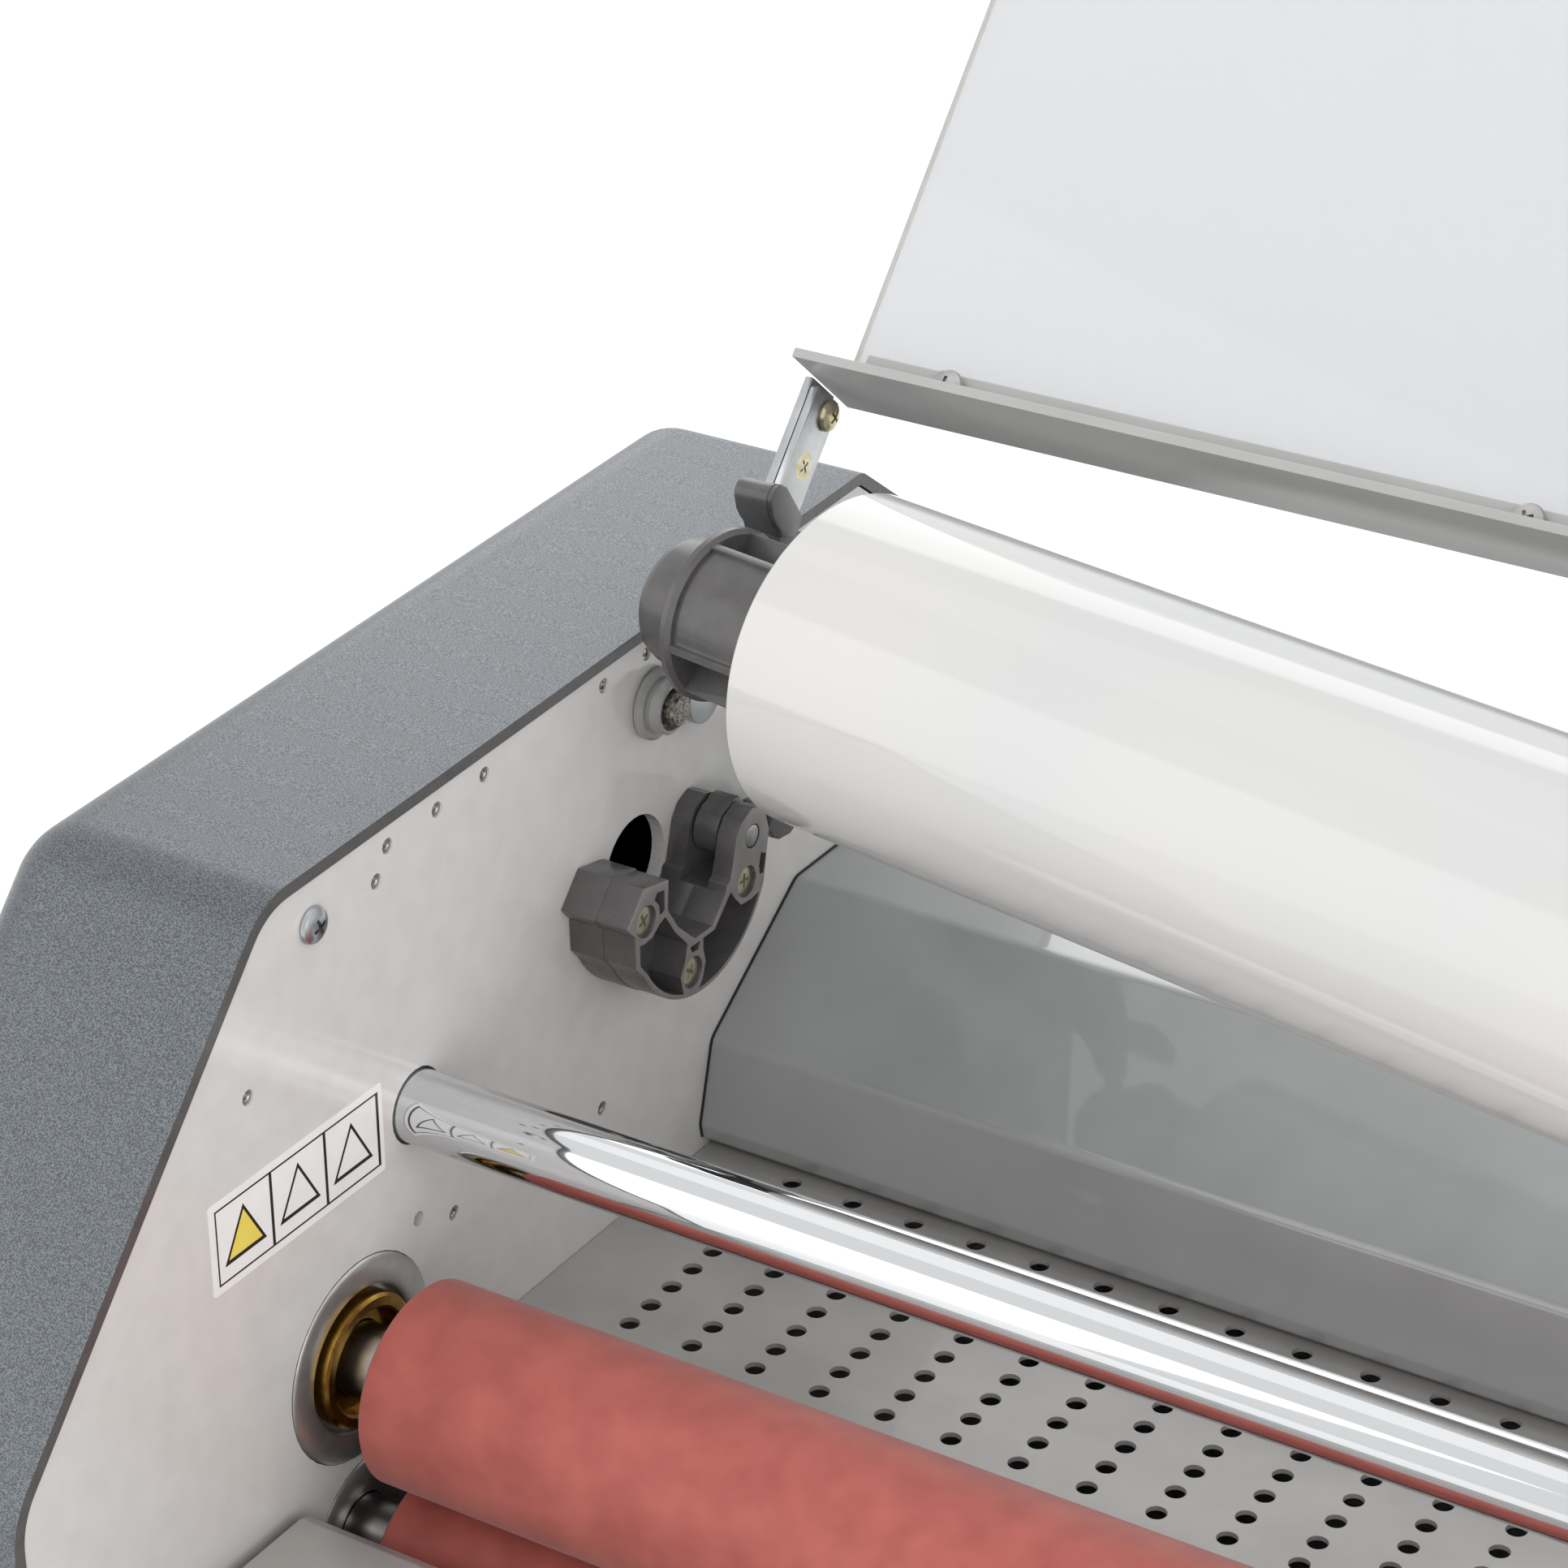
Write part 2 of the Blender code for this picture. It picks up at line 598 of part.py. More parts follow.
def mandrel():
    profile = [(0, SHAFT_END), (SHAFT_R, SHAFT_END), (SHAFT_R, BOSS_RIGHT), (BOSS_R - 1 * MM, BOSS_RIGHT),
               (BOSS_R, BOSS_RIGHT - 1.5 * MM), (BOSS_R, BOSS_LEFT + 2.5 * MM),
               (BOSS_R - 2.5 * MM, BOSS_LEFT), (0, BOSS_LEFT)]
    shaft = turned("supply_mandrel", profile, on_mandrel(0), ALONG_MANDREL, STEEL, 32)
    x, y, z = on_mandrel(0)
    cut(shaft, turned("swivel_pin_cutter", [(0, 13 * MM), (4.3 * MM, 13 * MM), (4.3 * MM, -13 * MM),
                                            (0, -13 * MM)], (x, y, z), (0, 0, 0), STEEL, 20, collection=CUTTERS))
    cut(shaft, turned("swivel_eye_cutter", [(0, 4 * MM), (7 * MM, 4 * MM), (7 * MM, -4 * MM), (0, -4 * MM)],
                      (x, y, z), (0, 0, 0), STEEL, 20, collection=CUTTERS))
    low = (x - 20 * MM, y, z - 4 * MM)
    high = (x + 4 * MM, y + 30 * MM, z + 4 * MM)
    cut(shaft, box("swivel_slot_cutter", low, high, STEEL, CUTTERS))


def chuck(name, flange, rib_end):
    """Core adapter: an end flange and three pairs of vanes on a tube that turns on the mandrel."""
    direction = 1 if rib_end > flange[0] else -1
    outer = sorted(flange)
    middle = (outer[0] + outer[1]) / 2
    half = (outer[1] - outer[0]) / 2
    bore = SHAFT_R + GAP
    profile = [(bore, half), (FLANGE_R, half), (FLANGE_R, -half), (bore, -half)]
    obj = turned(name, profile, on_mandrel(middle), ALONG_MANDREL, ABS, 40, closed=True)
    start = outer[1] - 0.5 * MM if direction > 0 else outer[0] + 0.5 * MM
    length = abs(rib_end - start)
    loop = []
    for k in range(6):
        along = math.radians(63 + 120 * (k // 2) + 40 * (k % 2))
        floor, gap = (POCKET_R, 40) if k % 2 == 0 else (WALL_R, 80)
        before = WALL_R if k % 2 == 0 else POCKET_R
        across = along + math.pi / 2
        for radius, offset in ((before, -1), (VANE_R, -1), (VANE_R, 1), (floor, 1)):
            loop.append((radius * math.cos(along) + offset * VANE_HALF * math.cos(across),
                         radius * math.sin(along) + offset * VANE_HALF * math.sin(across)))
        for part in (0.2, 0.4, 0.6, 0.8):
            turn = along + math.radians(gap * part)
            loop.append((floor * math.cos(turn), floor * math.sin(turn)))
    centre = on_mandrel(start + direction * length / 2)
    turn = (math.radians(90), 0, math.radians(90) - SWING)
    bore_loop = [(y * MM, z * MM) for y, z in ring((0, 0), bore / MM, 32)]
    star = plate(name + "_vanes", [loop, bore_loop], length, centre, turn, ABS, CUTTERS)
    join(obj, star)
    return obj


def film():
    middle, half = (FILM[0] + FILM[1]) / 2, (FILM[1] - FILM[0]) / 2
    for name, inner, outer, material in (("film_core", CORE_R[0], CORE_R[1], CARD),
                                         ("film_roll", CORE_R[1] + GAP, FILM_R, FILM_WHITE)):
        profile = [(inner, half), (outer, half), (outer, -half), (inner, -half)]
        turned(name, profile, on_mandrel(middle), ALONG_MANDREL, material, 64, closed=True)


PIVOT_COLUMN = [(40, 119), (66, 119), (66, 150), (42, 180), (30, 186), (8, 187.6), (3, 187.6), (3, 179),
                (12, 175), (26, 160)]


def supply_pivot_bracket():
    """Stands off the left plate, clear of the shield's arm, and reaches a pin into the mandrel's boss."""
    inner = -PLATE_X
    obj = prism("supply_pivot_bracket", [PIVOT_COLUMN], inner + 9 * MM, inner + 14.5 * MM, ABS)
    foot = [(41, 120), (65, 120), (65, 149), (48, 149), (41, 143)]
    join(obj, prism("pivot_foot", [foot], inner + GAP, inner + 10 * MM, ABS, collection=CUTTERS))
    x, y, z = on_mandrel(0)
    join(obj, box("pivot_lug", (x - 5 * MM, y, z - 3 * MM), (x - 2.2 * MM, y + 24 * MM, z + 3 * MM), ABS,
                  CUTTERS))
    eye = [(0, 12 * MM), (4 * MM, 12 * MM), (4 * MM, 3.4 * MM), (6 * MM, 3.4 * MM), (6 * MM, -3.4 * MM),
           (4 * MM, -3.4 * MM), (4 * MM, -12 * MM), (0, -12 * MM)]
    join(obj, turned("pivot_pin", eye, (x, y, z), (0, 0, 0), ABS, 20, collection=CUTTERS))


LEVER_PIVOT = (22.0, 172.0)


def swing_lock_lever():
    inner = -PLATE_X
    stem = arc(LEVER_PIVOT, 8, 160, 380, 10) + [(22.5, 189), (15, 193)]
    obj = prism("swing_lock_lever", [stem], inner + 15 * MM, inner + 20 * MM, ABS, about=LEVER_PIVOT)
    tab = [(14.5, 191.0), (22.0, 188.5), (25.5, 193.5), (19.0, 201.5), (17.5, 204.8), (14.5, 206.8),
           (11.6, 206.0), (9.8, 202.5), (11.3, 196.5)]
    join(obj, prism("lock_tab", [tab], inner + 9 * MM, inner + 21 * MM, ABS, collection=CUTTERS))
    pin(obj, "supply_pivot_bracket", LEVER_PIVOT, 3, (inner + 9.3 * MM, inner + 15.5 * MM),
        (inner + 8 * MM, inner + 17 * MM))


SUPPLY_SEAT = (SWIVEL[1], SWIVEL[2])
SEAT_R = 11.8
SEAT_X = (8.5 * MM, 27.5 * MM)    # from the right plate's inner face


def supply_bracket_right():
    """A seat open towards the operator, that the mandrel's free end swings into."""
    y, z = SUPPLY_SEAT
    section = [(y - 24, z - SEAT_R - 7), (8, z - SEAT_R - 9), (40, 119), (66, 119), (66, 150), (34, 186),
               (20, 200), (8, z + SEAT_R + 9), (y - 20, z + SEAT_R + 9), (y - 24, z + SEAT_R + 5),
               (y - 24, z + SEAT_R)]
    section += arc(SUPPLY_SEAT, SEAT_R, 90, -90, 14) + [(y - 24, z - SEAT_R)]
    obj = prism("supply_bracket_right", [section], PLATE_X - SEAT_X[1], PLATE_X - SEAT_X[0], ABS)
    foot = [(41, 120), (65, 120), (65, 149), (48, 149), (41, 143)]
    join(obj, prism("seat_foot", [foot], PLATE_X - 10 * MM, PLATE_X - GAP, ABS, collection=CUTTERS))


SUPPLY_LATCH = (-34.0, 199.8)
LATCH_LIES = math.radians(20)


def supply_latch_right():
    """A hook on the seat's side. It lies back, and swings over and down across the seat's mouth."""
    hook = arc((0, 0), 6, 50, 310, 10) + [(18, -3.6), (30, -3.6), (36, -7), (41, -6), (42.5, -1), (40, 3.6)]
    cos, sin = math.cos(LATCH_LIES), math.sin(LATCH_LIES)
    section = [(SUPPLY_LATCH[0] + a * cos - b * sin, SUPPLY_LATCH[1] + a * sin + b * cos) for a, b in hook]
    near = PLATE_X - SEAT_X[1] - GAP
    obj = prism("supply_latch_right", [section], near - 5 * MM, near, ABS, about=SUPPLY_LATCH)
    pin(obj, "supply_bracket_right", SUPPLY_LATCH, 2, (near - 1 * MM, near + 8 * MM),
        (near - 1 * MM, near + 9 * MM))


# ---------------------------------------------------------------- lower brackets

LOWER_W = 21.5 * MM
LOWER_PIN = (-2.3, 109.2)


def lower_bracket(hand, side):
    """A cradle open upwards: a hooked front arm, a round base and a slotted back arm."""
    outer = [(-43.2, 114.9), (-54.5, 117.3), (-62.8, 108.7), (-59.2, 104.7), (-59.0, 95.0)]
    outer += arc((-26.6, 106.4), 32.8, 208, 335, 12) + [(6.2, 107.5), (4.4, 113.6), (-1.9, 117.6),
                                                       (-6.9, 115.7), (-9.8, 112.0)]
    inner = [(-11.5, 105.6), (-13.2, 100.3), (-14.8, 99.7), (-15.6, 97.4), (-22.4, 90.8), (-30.6, 90.9),
             (-33.4, 93.2), (-39.4, 98.9)]
    section = outer + inner + [(-43.8, 106.0)]
    faces = sorted((side * (PLATE_X - GAP), side * (PLATE_X - LOWER_W)))
    obj = prism("lower_bracket_" + hand, [section], faces[0], faces[1], ABS)
    faces = sorted((side * (PLATE_X - 6.2 * MM), side * (PLATE_X - 15.2 * MM)))
    low = (faces[0], *yz(-18, 97.5))
    high = (faces[1], *yz(12, 125))
    cut(obj, box("latch_slot_cutter_" + hand, low, high, ABS, CUTTERS))
    return obj


def lower_latch(hand, side):
    """A cam in the back arm's slot with a thumb tab behind. It stands open."""
    faces = sorted((side * (PLATE_X - 6.8 * MM), side * (PLATE_X - 14.6 * MM)))
    y, z = LOWER_PIN
    cam = [(y + 4.5, z + 8.6)] + arc(LOWER_PIN, 7.5, 95, 250, 8) + [(y + 5, z - 6.5), (y + 17, z - 8),
                                                                 (y + 22, z - 3), (y + 15, z - 0.5)]
    obj = prism("lower_latch_" + hand, [cam], faces[0], faces[1], ABS, about=LOWER_PIN)
    faces = sorted((side * (PLATE_X - 4.6 * MM), side * (PLATE_X - 16.8 * MM)))
    tab = [(y + 16, z - 7), (y + 21, z - 12.5), (y + 27, z - 13.2), (y + 32, z - 9), (y + 30.5, z - 4),
           (y + 20, z - 2)]
    join(obj, prism("latch_tab_" + hand, [tab], faces[0], faces[1], ABS, collection=CUTTERS))
    pin(obj, "lower_bracket_" + hand, LOWER_PIN, 3.2,
        (side * (PLATE_X - 3.3 * MM), side * (PLATE_X - LOWER_W)),
        (side * (PLATE_X - 3 * MM), side * (PLATE_X - LOWER_W - 2 * MM)))


# ---------------------------------------------------------------- shield

def shield_prism(name, sq, x0, x1, material, collection=PARTS):
    section = [shield_yz(s, q) for s, q in sq]
    return prism(name, [section], x0, x1, material, shield_yz(*SHIELD_PIVOT_SQ), collection)


def shield_arms():
    """Each arm is one strip with a clip behind its top, and turns on a pivot in its side plate."""
    end = arc(SHIELD_PIVOT_SQ, ARM_DEEP / 2, 90, 270, 10)
    long_strip = [(ARM_TOP, 0.5), (ARM_TOP, ARM_DEEP)] + end
    short_strip = [(96.4, 2), (96.4, 13), (94.4, ARM_DEEP), (58, ARM_DEEP), (56, 13), (56, 2), (58, 0.5),
                   (94.4, 0.5)]
    for side, hand in ((-1, "left"), (1, "right")):
        near, far = PLATE_X - ARM_X[0], PLATE_X - ARM_X[1]
        pivot = shield_yz(*SHIELD_PIVOT_SQ)
        faces = sorted((side * near, side * (near - 2.6 * MM)))
        arm = shield_prism("shield_arm_" + hand, long_strip, faces[0], faces[1], ALUMINIUM)
        faces = sorted((side * (near - 2.4 * MM), side * far))
        join(arm, shield_prism("arm_clip_" + hand, short_strip, faces[0], faces[1], ALUMINIUM, CUTTERS))
        faces = sorted((side * (near - 1 * MM), side * (PLATE_X + PLATE_T)))
        join(arm, rod("arm_journal_" + hand, faces[0], faces[1], pivot, (PIVOT_HOLE_R - 0.3) * MM, ALUMINIUM,
                      16, CUTTERS))


def shield_beam_and_panel():
    half = PLATE_X - ARM_X[0]
    (s0, s1), (q0, q1) = BEAM_S, BEAM_Q
    beam = [(s0, q0 + 0.6), (s0, q1), (s1, q1), (s1, q0 + 0.6), (s1 - 0.6, q0), (s0 + 0.6, q0)]
    shield_prism("shield_beam", beam, -half, half, PLENUM_PAINT)
    base, (q0, q1) = s1 + 0.3, CLAMP_Q
    strip = [(base, q0), (base, q1), (108.5, q1), (108.5, q0)]
    shield_prism("shield_clamp_strip", strip, -half + 15 * MM, half - 15 * MM, ALUMINIUM)
    inset, (q0, q1) = PLATE_X - PANEL_INSET, PANEL_Q
    panel = [(base, q0), (base, q1), (PANEL_TOP, q1), (PANEL_TOP, q0)]
    shield_prism("shield_panel", panel, -inset, inset, ACRYLIC)


def magnet_stubs():
    """A stub through each side plate, that the shield's arm comes to rest near."""
    for side, hand in ((-1, "left"), (1, "right")):
        place = (side * PLATE_X, *yz(*STUB))
        turn = (0, math.radians(-90 * side), 0)
        profile = [(0, 10 * MM), (4.7 * MM, 10 * MM), (4.7 * MM, 7 * MM), (7.5 * MM, 7 * MM),
                   (7.5 * MM, 3 * MM), (10 * MM, 3 * MM), (10 * MM, GAP), (4.7 * MM, GAP),
                   (4.7 * MM, -PLATE_T), (0, -PLATE_T)]
        turned("magnet_stub_" + hand, profile, place, turn, ABS, 32)


# ---------------------------------------------------------------- controls

LEVER_X = (0.376 + 13 * MM, 0.376 + 21 * MM)
PRESSURE_PIVOT = (-50.0, 112.0)
INLET_X = -0.280
INLET_Z = -110.0
REAR_Y = 184.6
SLOPE = math.atan2(165.1 - 51, -183 + 286)
PANEL_AT = (-231.0, 0.0)
PAD_T = 9 * MM
PAD_X = PLATE_X + 30 * MM


def pressure_lever():
    """Stands in a slot of the right cover. Forward lets the lower roller down."""
    x0, x1 = LEVER_X
    y, z = PRESSURE_PIVOT
    bar = arc(PRESSURE_PIVOT, 12, 165, 375, 12) + [(y + 7, z + 52), (y + 7, z + 92), (y + 4, z + 97),
                                                  (y - 4, z + 97), (y - 7, z + 92), (y - 7, z + 52)]
    obj = prism("pressure_lever", [bar], x0, x1, STEEL, about=PRESSURE_PIVOT)
    grip = [(y - 9, z + 76), (y + 9, z + 76), (y + 11, z + 84), (y + 11, z + 104), (y + 6, z + 110),
            (y - 6, z + 110), (y - 11, z + 104), (y - 11, z + 84)]
    join(obj, prism("lever_grip", [grip], x0 - 3 * MM, x1 + 3 * MM, BLACK, collection=CUTTERS))
    pin(obj, "side_plate_right", PRESSURE_PIVOT, 5, (PLATE_X + 0.5 * MM, x0 + 2 * MM),
        (PLATE_X - 1 * MM, PLATE_X + PLATE_T + 1 * MM))


def slope_place(along, up):
    """A point over the right cover's front slope: along it from its top corner, and out from it, in metres."""
    y, z = yz(-183, 165.1)
    out = COVER_LIP * MM + up
    return (PAD_X, y - along * math.cos(SLOPE) - out * math.sin(SLOPE),
            z - along * math.sin(SLOPE) + out * math.cos(SLOPE))


def controls():
    """A raised control pad on the right cover's front slope, with a speed knob and an emergency stop."""
    turn = (SLOPE, 0, 0)
    corners = [((-22, -62), 5), ((22, -62), 5), ((22, 62), 5), ((-22, 62), 5)]
    loop = [(u * MM, v * MM) for u, v in rounded(corners)]
    stop_hole = [(u * MM, v * MM) for u, v in ring((0, -44), 5.4, 20)]
    knob_hole = [(u * MM, v * MM) for u, v in ring((0, -8), 3.4, 16)]
    middle = slope_place(0.078, GAP + PAD_T / 2)
    plate("control_pad", [loop, stop_hole, knob_hole], PAD_T, middle, turn, BLACK)
    face = GAP + PAD_T
    stop = slope_place(0.078 + 0.044, face)
    profile = [(0, 16 * MM), (9 * MM, 15.5 * MM), (13.5 * MM, 12 * MM), (14 * MM, 9 * MM), (11 * MM, 5 * MM),
               (5 * MM, 5 * MM), (5 * MM, -4 * MM), (0, -4 * MM)]
    turned("emergency_stop", profile, stop, turn, RED, 32)
    knob = slope_place(0.078 + 0.008, face)
    profile = [(0, 14 * MM), (9.5 * MM, 14 * MM), (10.5 * MM, 12.5 * MM), (12 * MM, 0.5 * MM), (3 * MM, 0.5 * MM),
               (3 * MM, -5 * MM), (0, -5 * MM)]
    turned("speed_knob", profile, knob, turn, BLACK, 32)


def mains_inlet():
    """Inlet and rocker switch in one moulding that snaps into the rear panel."""
    y = DATUM_Y + REAR_Y * MM + 0.8 * MM + GAP
    z = DATUM_Z + INLET_Z * MM
    body = box("power_inlet", (INLET_X - 28 * MM, y, z - 17 * MM), (INLET_X + 28 * MM, y + 2 * MM, z + 17 * MM),
               BLACK)
    join(body, box("inlet_barrel", (INLET_X - 22.5 * MM, y - 24 * MM, z - 12.5 * MM),
                   (INLET_X + 22.5 * MM, y + 1 * MM, z + 12.5 * MM), BLACK, CUTTERS))
    cut(body, box("socket_cutter", (INLET_X - 19 * MM, y - 16 * MM, z - 8.5 * MM),
                  (INLET_X + 5.5 * MM, y + 5 * MM, z + 8.5 * MM), BLACK, CUTTERS))
    for k, (dx, dz) in enumerate(((-13.7, -2.0), (-6.7, 2.0), (0.3, -2.0))):
        x = INLET_X + dx * MM
        join(body, box("contact_%d" % k, (x - 1 * MM, y - 17 * MM, z + (dz - 2) * MM),
                       (x + 1 * MM, y - 4 * MM, z + (dz + 2) * MM), BRASS, CUTTERS))
    cut(body, box("rocker_cutter", (INLET_X + 8 * MM, y - 10 * MM, z - 10 * MM),
                  (INLET_X + 20 * MM, y + 5 * MM, z + 10 * MM), BLACK, CUTTERS))
    middle = (REAR_Y + 0.8 + 0.3 - 1.0, INLET_Z)
    rocker = [(-6, -7), (-6, 7), (1.0, 9), (3.4, 8.2), (0.9, 0), (3.4, -8.2), (1.0, -9)]
    lean = math.radians(-9)
    section = [(middle[0] + u * math.cos(lean) - v * math.sin(lean),
                middle[1] + u * math.sin(lean) + v * math.cos(lean)) for u, v in rocker]
    prism("power_switch", [section], INLET_X + 8.5 * MM, INLET_X + 19.5 * MM, BLACK, about=middle)


# ---------------------------------------------------------------- assembly

def hold_moving_pieces():
    """Empties on the joint axes that carry more than one piece."""
    pieces = bpy.data.objects
    shield = empty("shield_axis", (0, *yz(*shield_yz(*SHIELD_PIVOT_SQ))))
    for name in ("shield_arm_left", "shield_arm_right", "shield_beam", "shield_clamp_strip", "shield_panel"):
        hang_on(pieces[name], shield)
    swing = empty("mandrel_swing_axis", on_mandrel(0), (0, 0, -SWING))
    for name in ("supply_mandrel", "supply_chuck_left", "supply_chuck_right", "film_core", "film_roll"):
        hang_on(pieces[name], swing)


def build():
    side_plates()
    side_cover("side_cover_left", -1, False)
    side_cover("side_cover_right", 1, True)
    frame_panels()
    rear_panel()
    feet()
    feed_table()
    bearings()
    heated_rollers()
    pull_rollers()
    idler_bar()
    drive_train()
    belt()
    motor()
    mandrel()
    chuck("supply_chuck_left", FLANGE, RIB_END)
    far = FILM[1] + FILM[0]
    chuck("supply_chuck_right", (far - FLANGE[0], far - FLANGE[1]), far - RIB_END)
    film()
    supply_pivot_bracket()
    swing_lock_lever()
    supply_bracket_right()
    supply_latch_right()
    for hand, side in (("left", -1), ("right", 1)):
        lower_bracket(hand, side)
        lower_latch(hand, side)
    shield_arms()
    shield_beam_and_panel()
    magnet_stubs()
    pressure_lever()
    controls()
    mains_inlet()
    hold_moving_pieces()


build()
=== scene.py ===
# %% [markdown]
# # A desktop roll laminator
# The machine heats and presses film onto prints. Two painted steel plates carry everything: silicone
# rollers, a chrome bar, a roll of film on a mandrel that swings out, and a clear shield that lifts.
# The solid frame is already made and fixed, so this lesson only adds what the eye sees.

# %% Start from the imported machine
import math

import bmesh
import bpy
from mathutils import Matrix, Vector


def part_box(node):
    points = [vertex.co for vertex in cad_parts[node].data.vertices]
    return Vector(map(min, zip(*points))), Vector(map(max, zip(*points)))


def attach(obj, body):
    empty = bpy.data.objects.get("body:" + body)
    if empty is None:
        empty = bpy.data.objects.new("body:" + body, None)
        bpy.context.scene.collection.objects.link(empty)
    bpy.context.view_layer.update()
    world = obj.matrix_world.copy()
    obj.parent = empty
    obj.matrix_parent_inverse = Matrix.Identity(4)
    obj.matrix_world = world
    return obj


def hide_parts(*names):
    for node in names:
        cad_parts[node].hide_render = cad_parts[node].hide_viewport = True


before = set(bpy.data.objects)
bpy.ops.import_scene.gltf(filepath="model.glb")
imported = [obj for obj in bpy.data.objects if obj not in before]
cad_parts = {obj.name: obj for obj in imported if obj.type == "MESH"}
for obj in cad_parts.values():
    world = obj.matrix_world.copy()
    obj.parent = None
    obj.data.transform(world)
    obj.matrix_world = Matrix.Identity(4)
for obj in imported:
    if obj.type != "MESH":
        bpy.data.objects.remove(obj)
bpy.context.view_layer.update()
MM = 0.001

# %% [markdown]
# Like a workshop drawing, the side features are measured in millimetres from one corner: the rear row
# of vent holes, on the vent plate's top. The inner faces of the two side plates are the other datum.

# %% Datums
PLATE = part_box("side_plate_right")[0].x
VENT_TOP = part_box("perforated_plate")[1].z
VENT_ROW = 0.0475


def at(y_mm, z_mm):
    return VENT_ROW + y_mm * MM, VENT_TOP + z_mm * MM


print("clear width between the plates:", round(2 * PLATE / MM), "mm")

# %% [markdown]
# Operators act on whatever is selected, so each step starts by deselecting all. These few helpers pick a
# piece, run a modifier to its end, and smooth a piece so that only its real edges stay sharp.

# %% Bench tools
def deselect():
    if bpy.context.object and bpy.context.object.mode != "OBJECT":
        bpy.ops.object.mode_set(mode="OBJECT")
    bpy.ops.object.select_all(action="DESELECT")


def pick(piece):
    deselect()
    piece.select_set(True)
    bpy.context.view_layer.objects.active = piece


def modify(piece, kind, **settings):
    pick(piece)
    step = piece.modifiers.new(kind.lower(), kind)
    for key, value in settings.items():
        setattr(step, key, value)
    bpy.ops.object.modifier_apply(modifier=step.name)
    return piece


def close_up(piece, smooth=35):
    """Merges doubles, turns the faces outwards and smooths all but the real edges."""
    pick(piece)
    bpy.ops.object.mode_set(mode="EDIT")
    bpy.ops.mesh.select_all(action="SELECT")
    bpy.ops.mesh.remove_doubles(threshold=1e-6)
    bpy.ops.mesh.normals_make_consistent(inside=False)
    bpy.ops.object.mode_set(mode="OBJECT")
    bpy.ops.object.shade_smooth_by_angle(angle=math.radians(smooth))
    return piece


# %% [markdown]
# Most parts of this machine are cut from sheet or moulded with straight sides, so one helper draws an
# outline from a circle primitive whose points are moved, extrudes it along the rollers, and bevels
# the rim edges, as a hand would do it.

# %% Straight-sided pieces
def rim_edges(work, xs):
    chosen = []
    for edge in work.edges:
        if any(all(abs(v.co.x - x) < 1e-7 for v in edge.verts) for x in xs):
            if edge.calc_face_angle(0) > math.radians(60):
                chosen.append(edge)
    return chosen


def slab(name, outline, x0, x1, edge=0.0, segments=2, ends="both"):
    """A straight piece along X from an outline in datum millimetres, with its rims bevelled."""
    deselect()
    bpy.ops.mesh.primitive_circle_add(vertices=len(outline), fill_type="NGON")
    piece = bpy.context.object
    piece.name = name
    for vertex, (y, z) in zip(piece.data.vertices, outline):
        vertex.co = (x0, *at(y, z))
    bpy.ops.object.mode_set(mode="EDIT")
    bpy.ops.mesh.select_all(action="SELECT")
    bpy.ops.mesh.extrude_region_move(TRANSFORM_OT_translate={"value": (x1 - x0, 0, 0)})
    bpy.ops.mesh.select_all(action="SELECT")
    bpy.ops.mesh.normals_make_consistent(inside=False)
    if edge:
        bpy.ops.mesh.select_all(action="DESELECT")
        work = bmesh.from_edit_mesh(piece.data)
        for chosen in rim_edges(work, {"both": (x0, x1), "far": (x1,)}[ends]):
            chosen.select_set(True)
        bmesh.update_edit_mesh(piece.data)
        bpy.ops.mesh.bevel(offset=edge * MM, segments=segments, affect="EDGES")
    bpy.ops.object.mode_set(mode="OBJECT")
    return piece


def arc(centre, radius, first, last, steps=8):
    turns = [math.radians(first + (last - first) * k / steps) for k in range(steps + 1)]
    return [(centre[0] + radius * math.cos(t), centre[1] + radius * math.sin(t)) for t in turns]


def ring(centre, radius, sides=32):
    return arc(centre, radius, 0, 360 * (sides - 1) / sides, sides - 1)


def rounded(corners, steps=8):
    """Outline points whose corners are arcs. Each corner is (y, z, radius)."""
    points = []
    for i, (y, z, radius) in enumerate(corners):
        here = Vector((y, z))
        back = (Vector(corners[i - 1][:2]) - here).normalized()
        ahead = (Vector(corners[(i + 1) % len(corners)][:2]) - here).normalized()
        half = back.angle(ahead) / 2
        if radius < 0.01:
            points.append((y, z))
            continue
        centre = here + (back + ahead).normalized() * (radius / math.sin(half))
        start = here + back * (radius / math.tan(half)) - centre
        sweep = start.angle_signed(here + ahead * (radius / math.tan(half)) - centre)
        for k in range(steps + 1):
            t = -sweep * k / steps
            points.append((centre.x + start.x * math.cos(t) - start.y * math.sin(t),
                           centre.y + start.x * math.sin(t) + start.y * math.cos(t)))
    return points


# %% [markdown]
# Round parts are turned: a profile is drawn in a plane through the axis and spun a full turn. A profile
# that touches the axis gives a solid, and a closed one gives a tube.

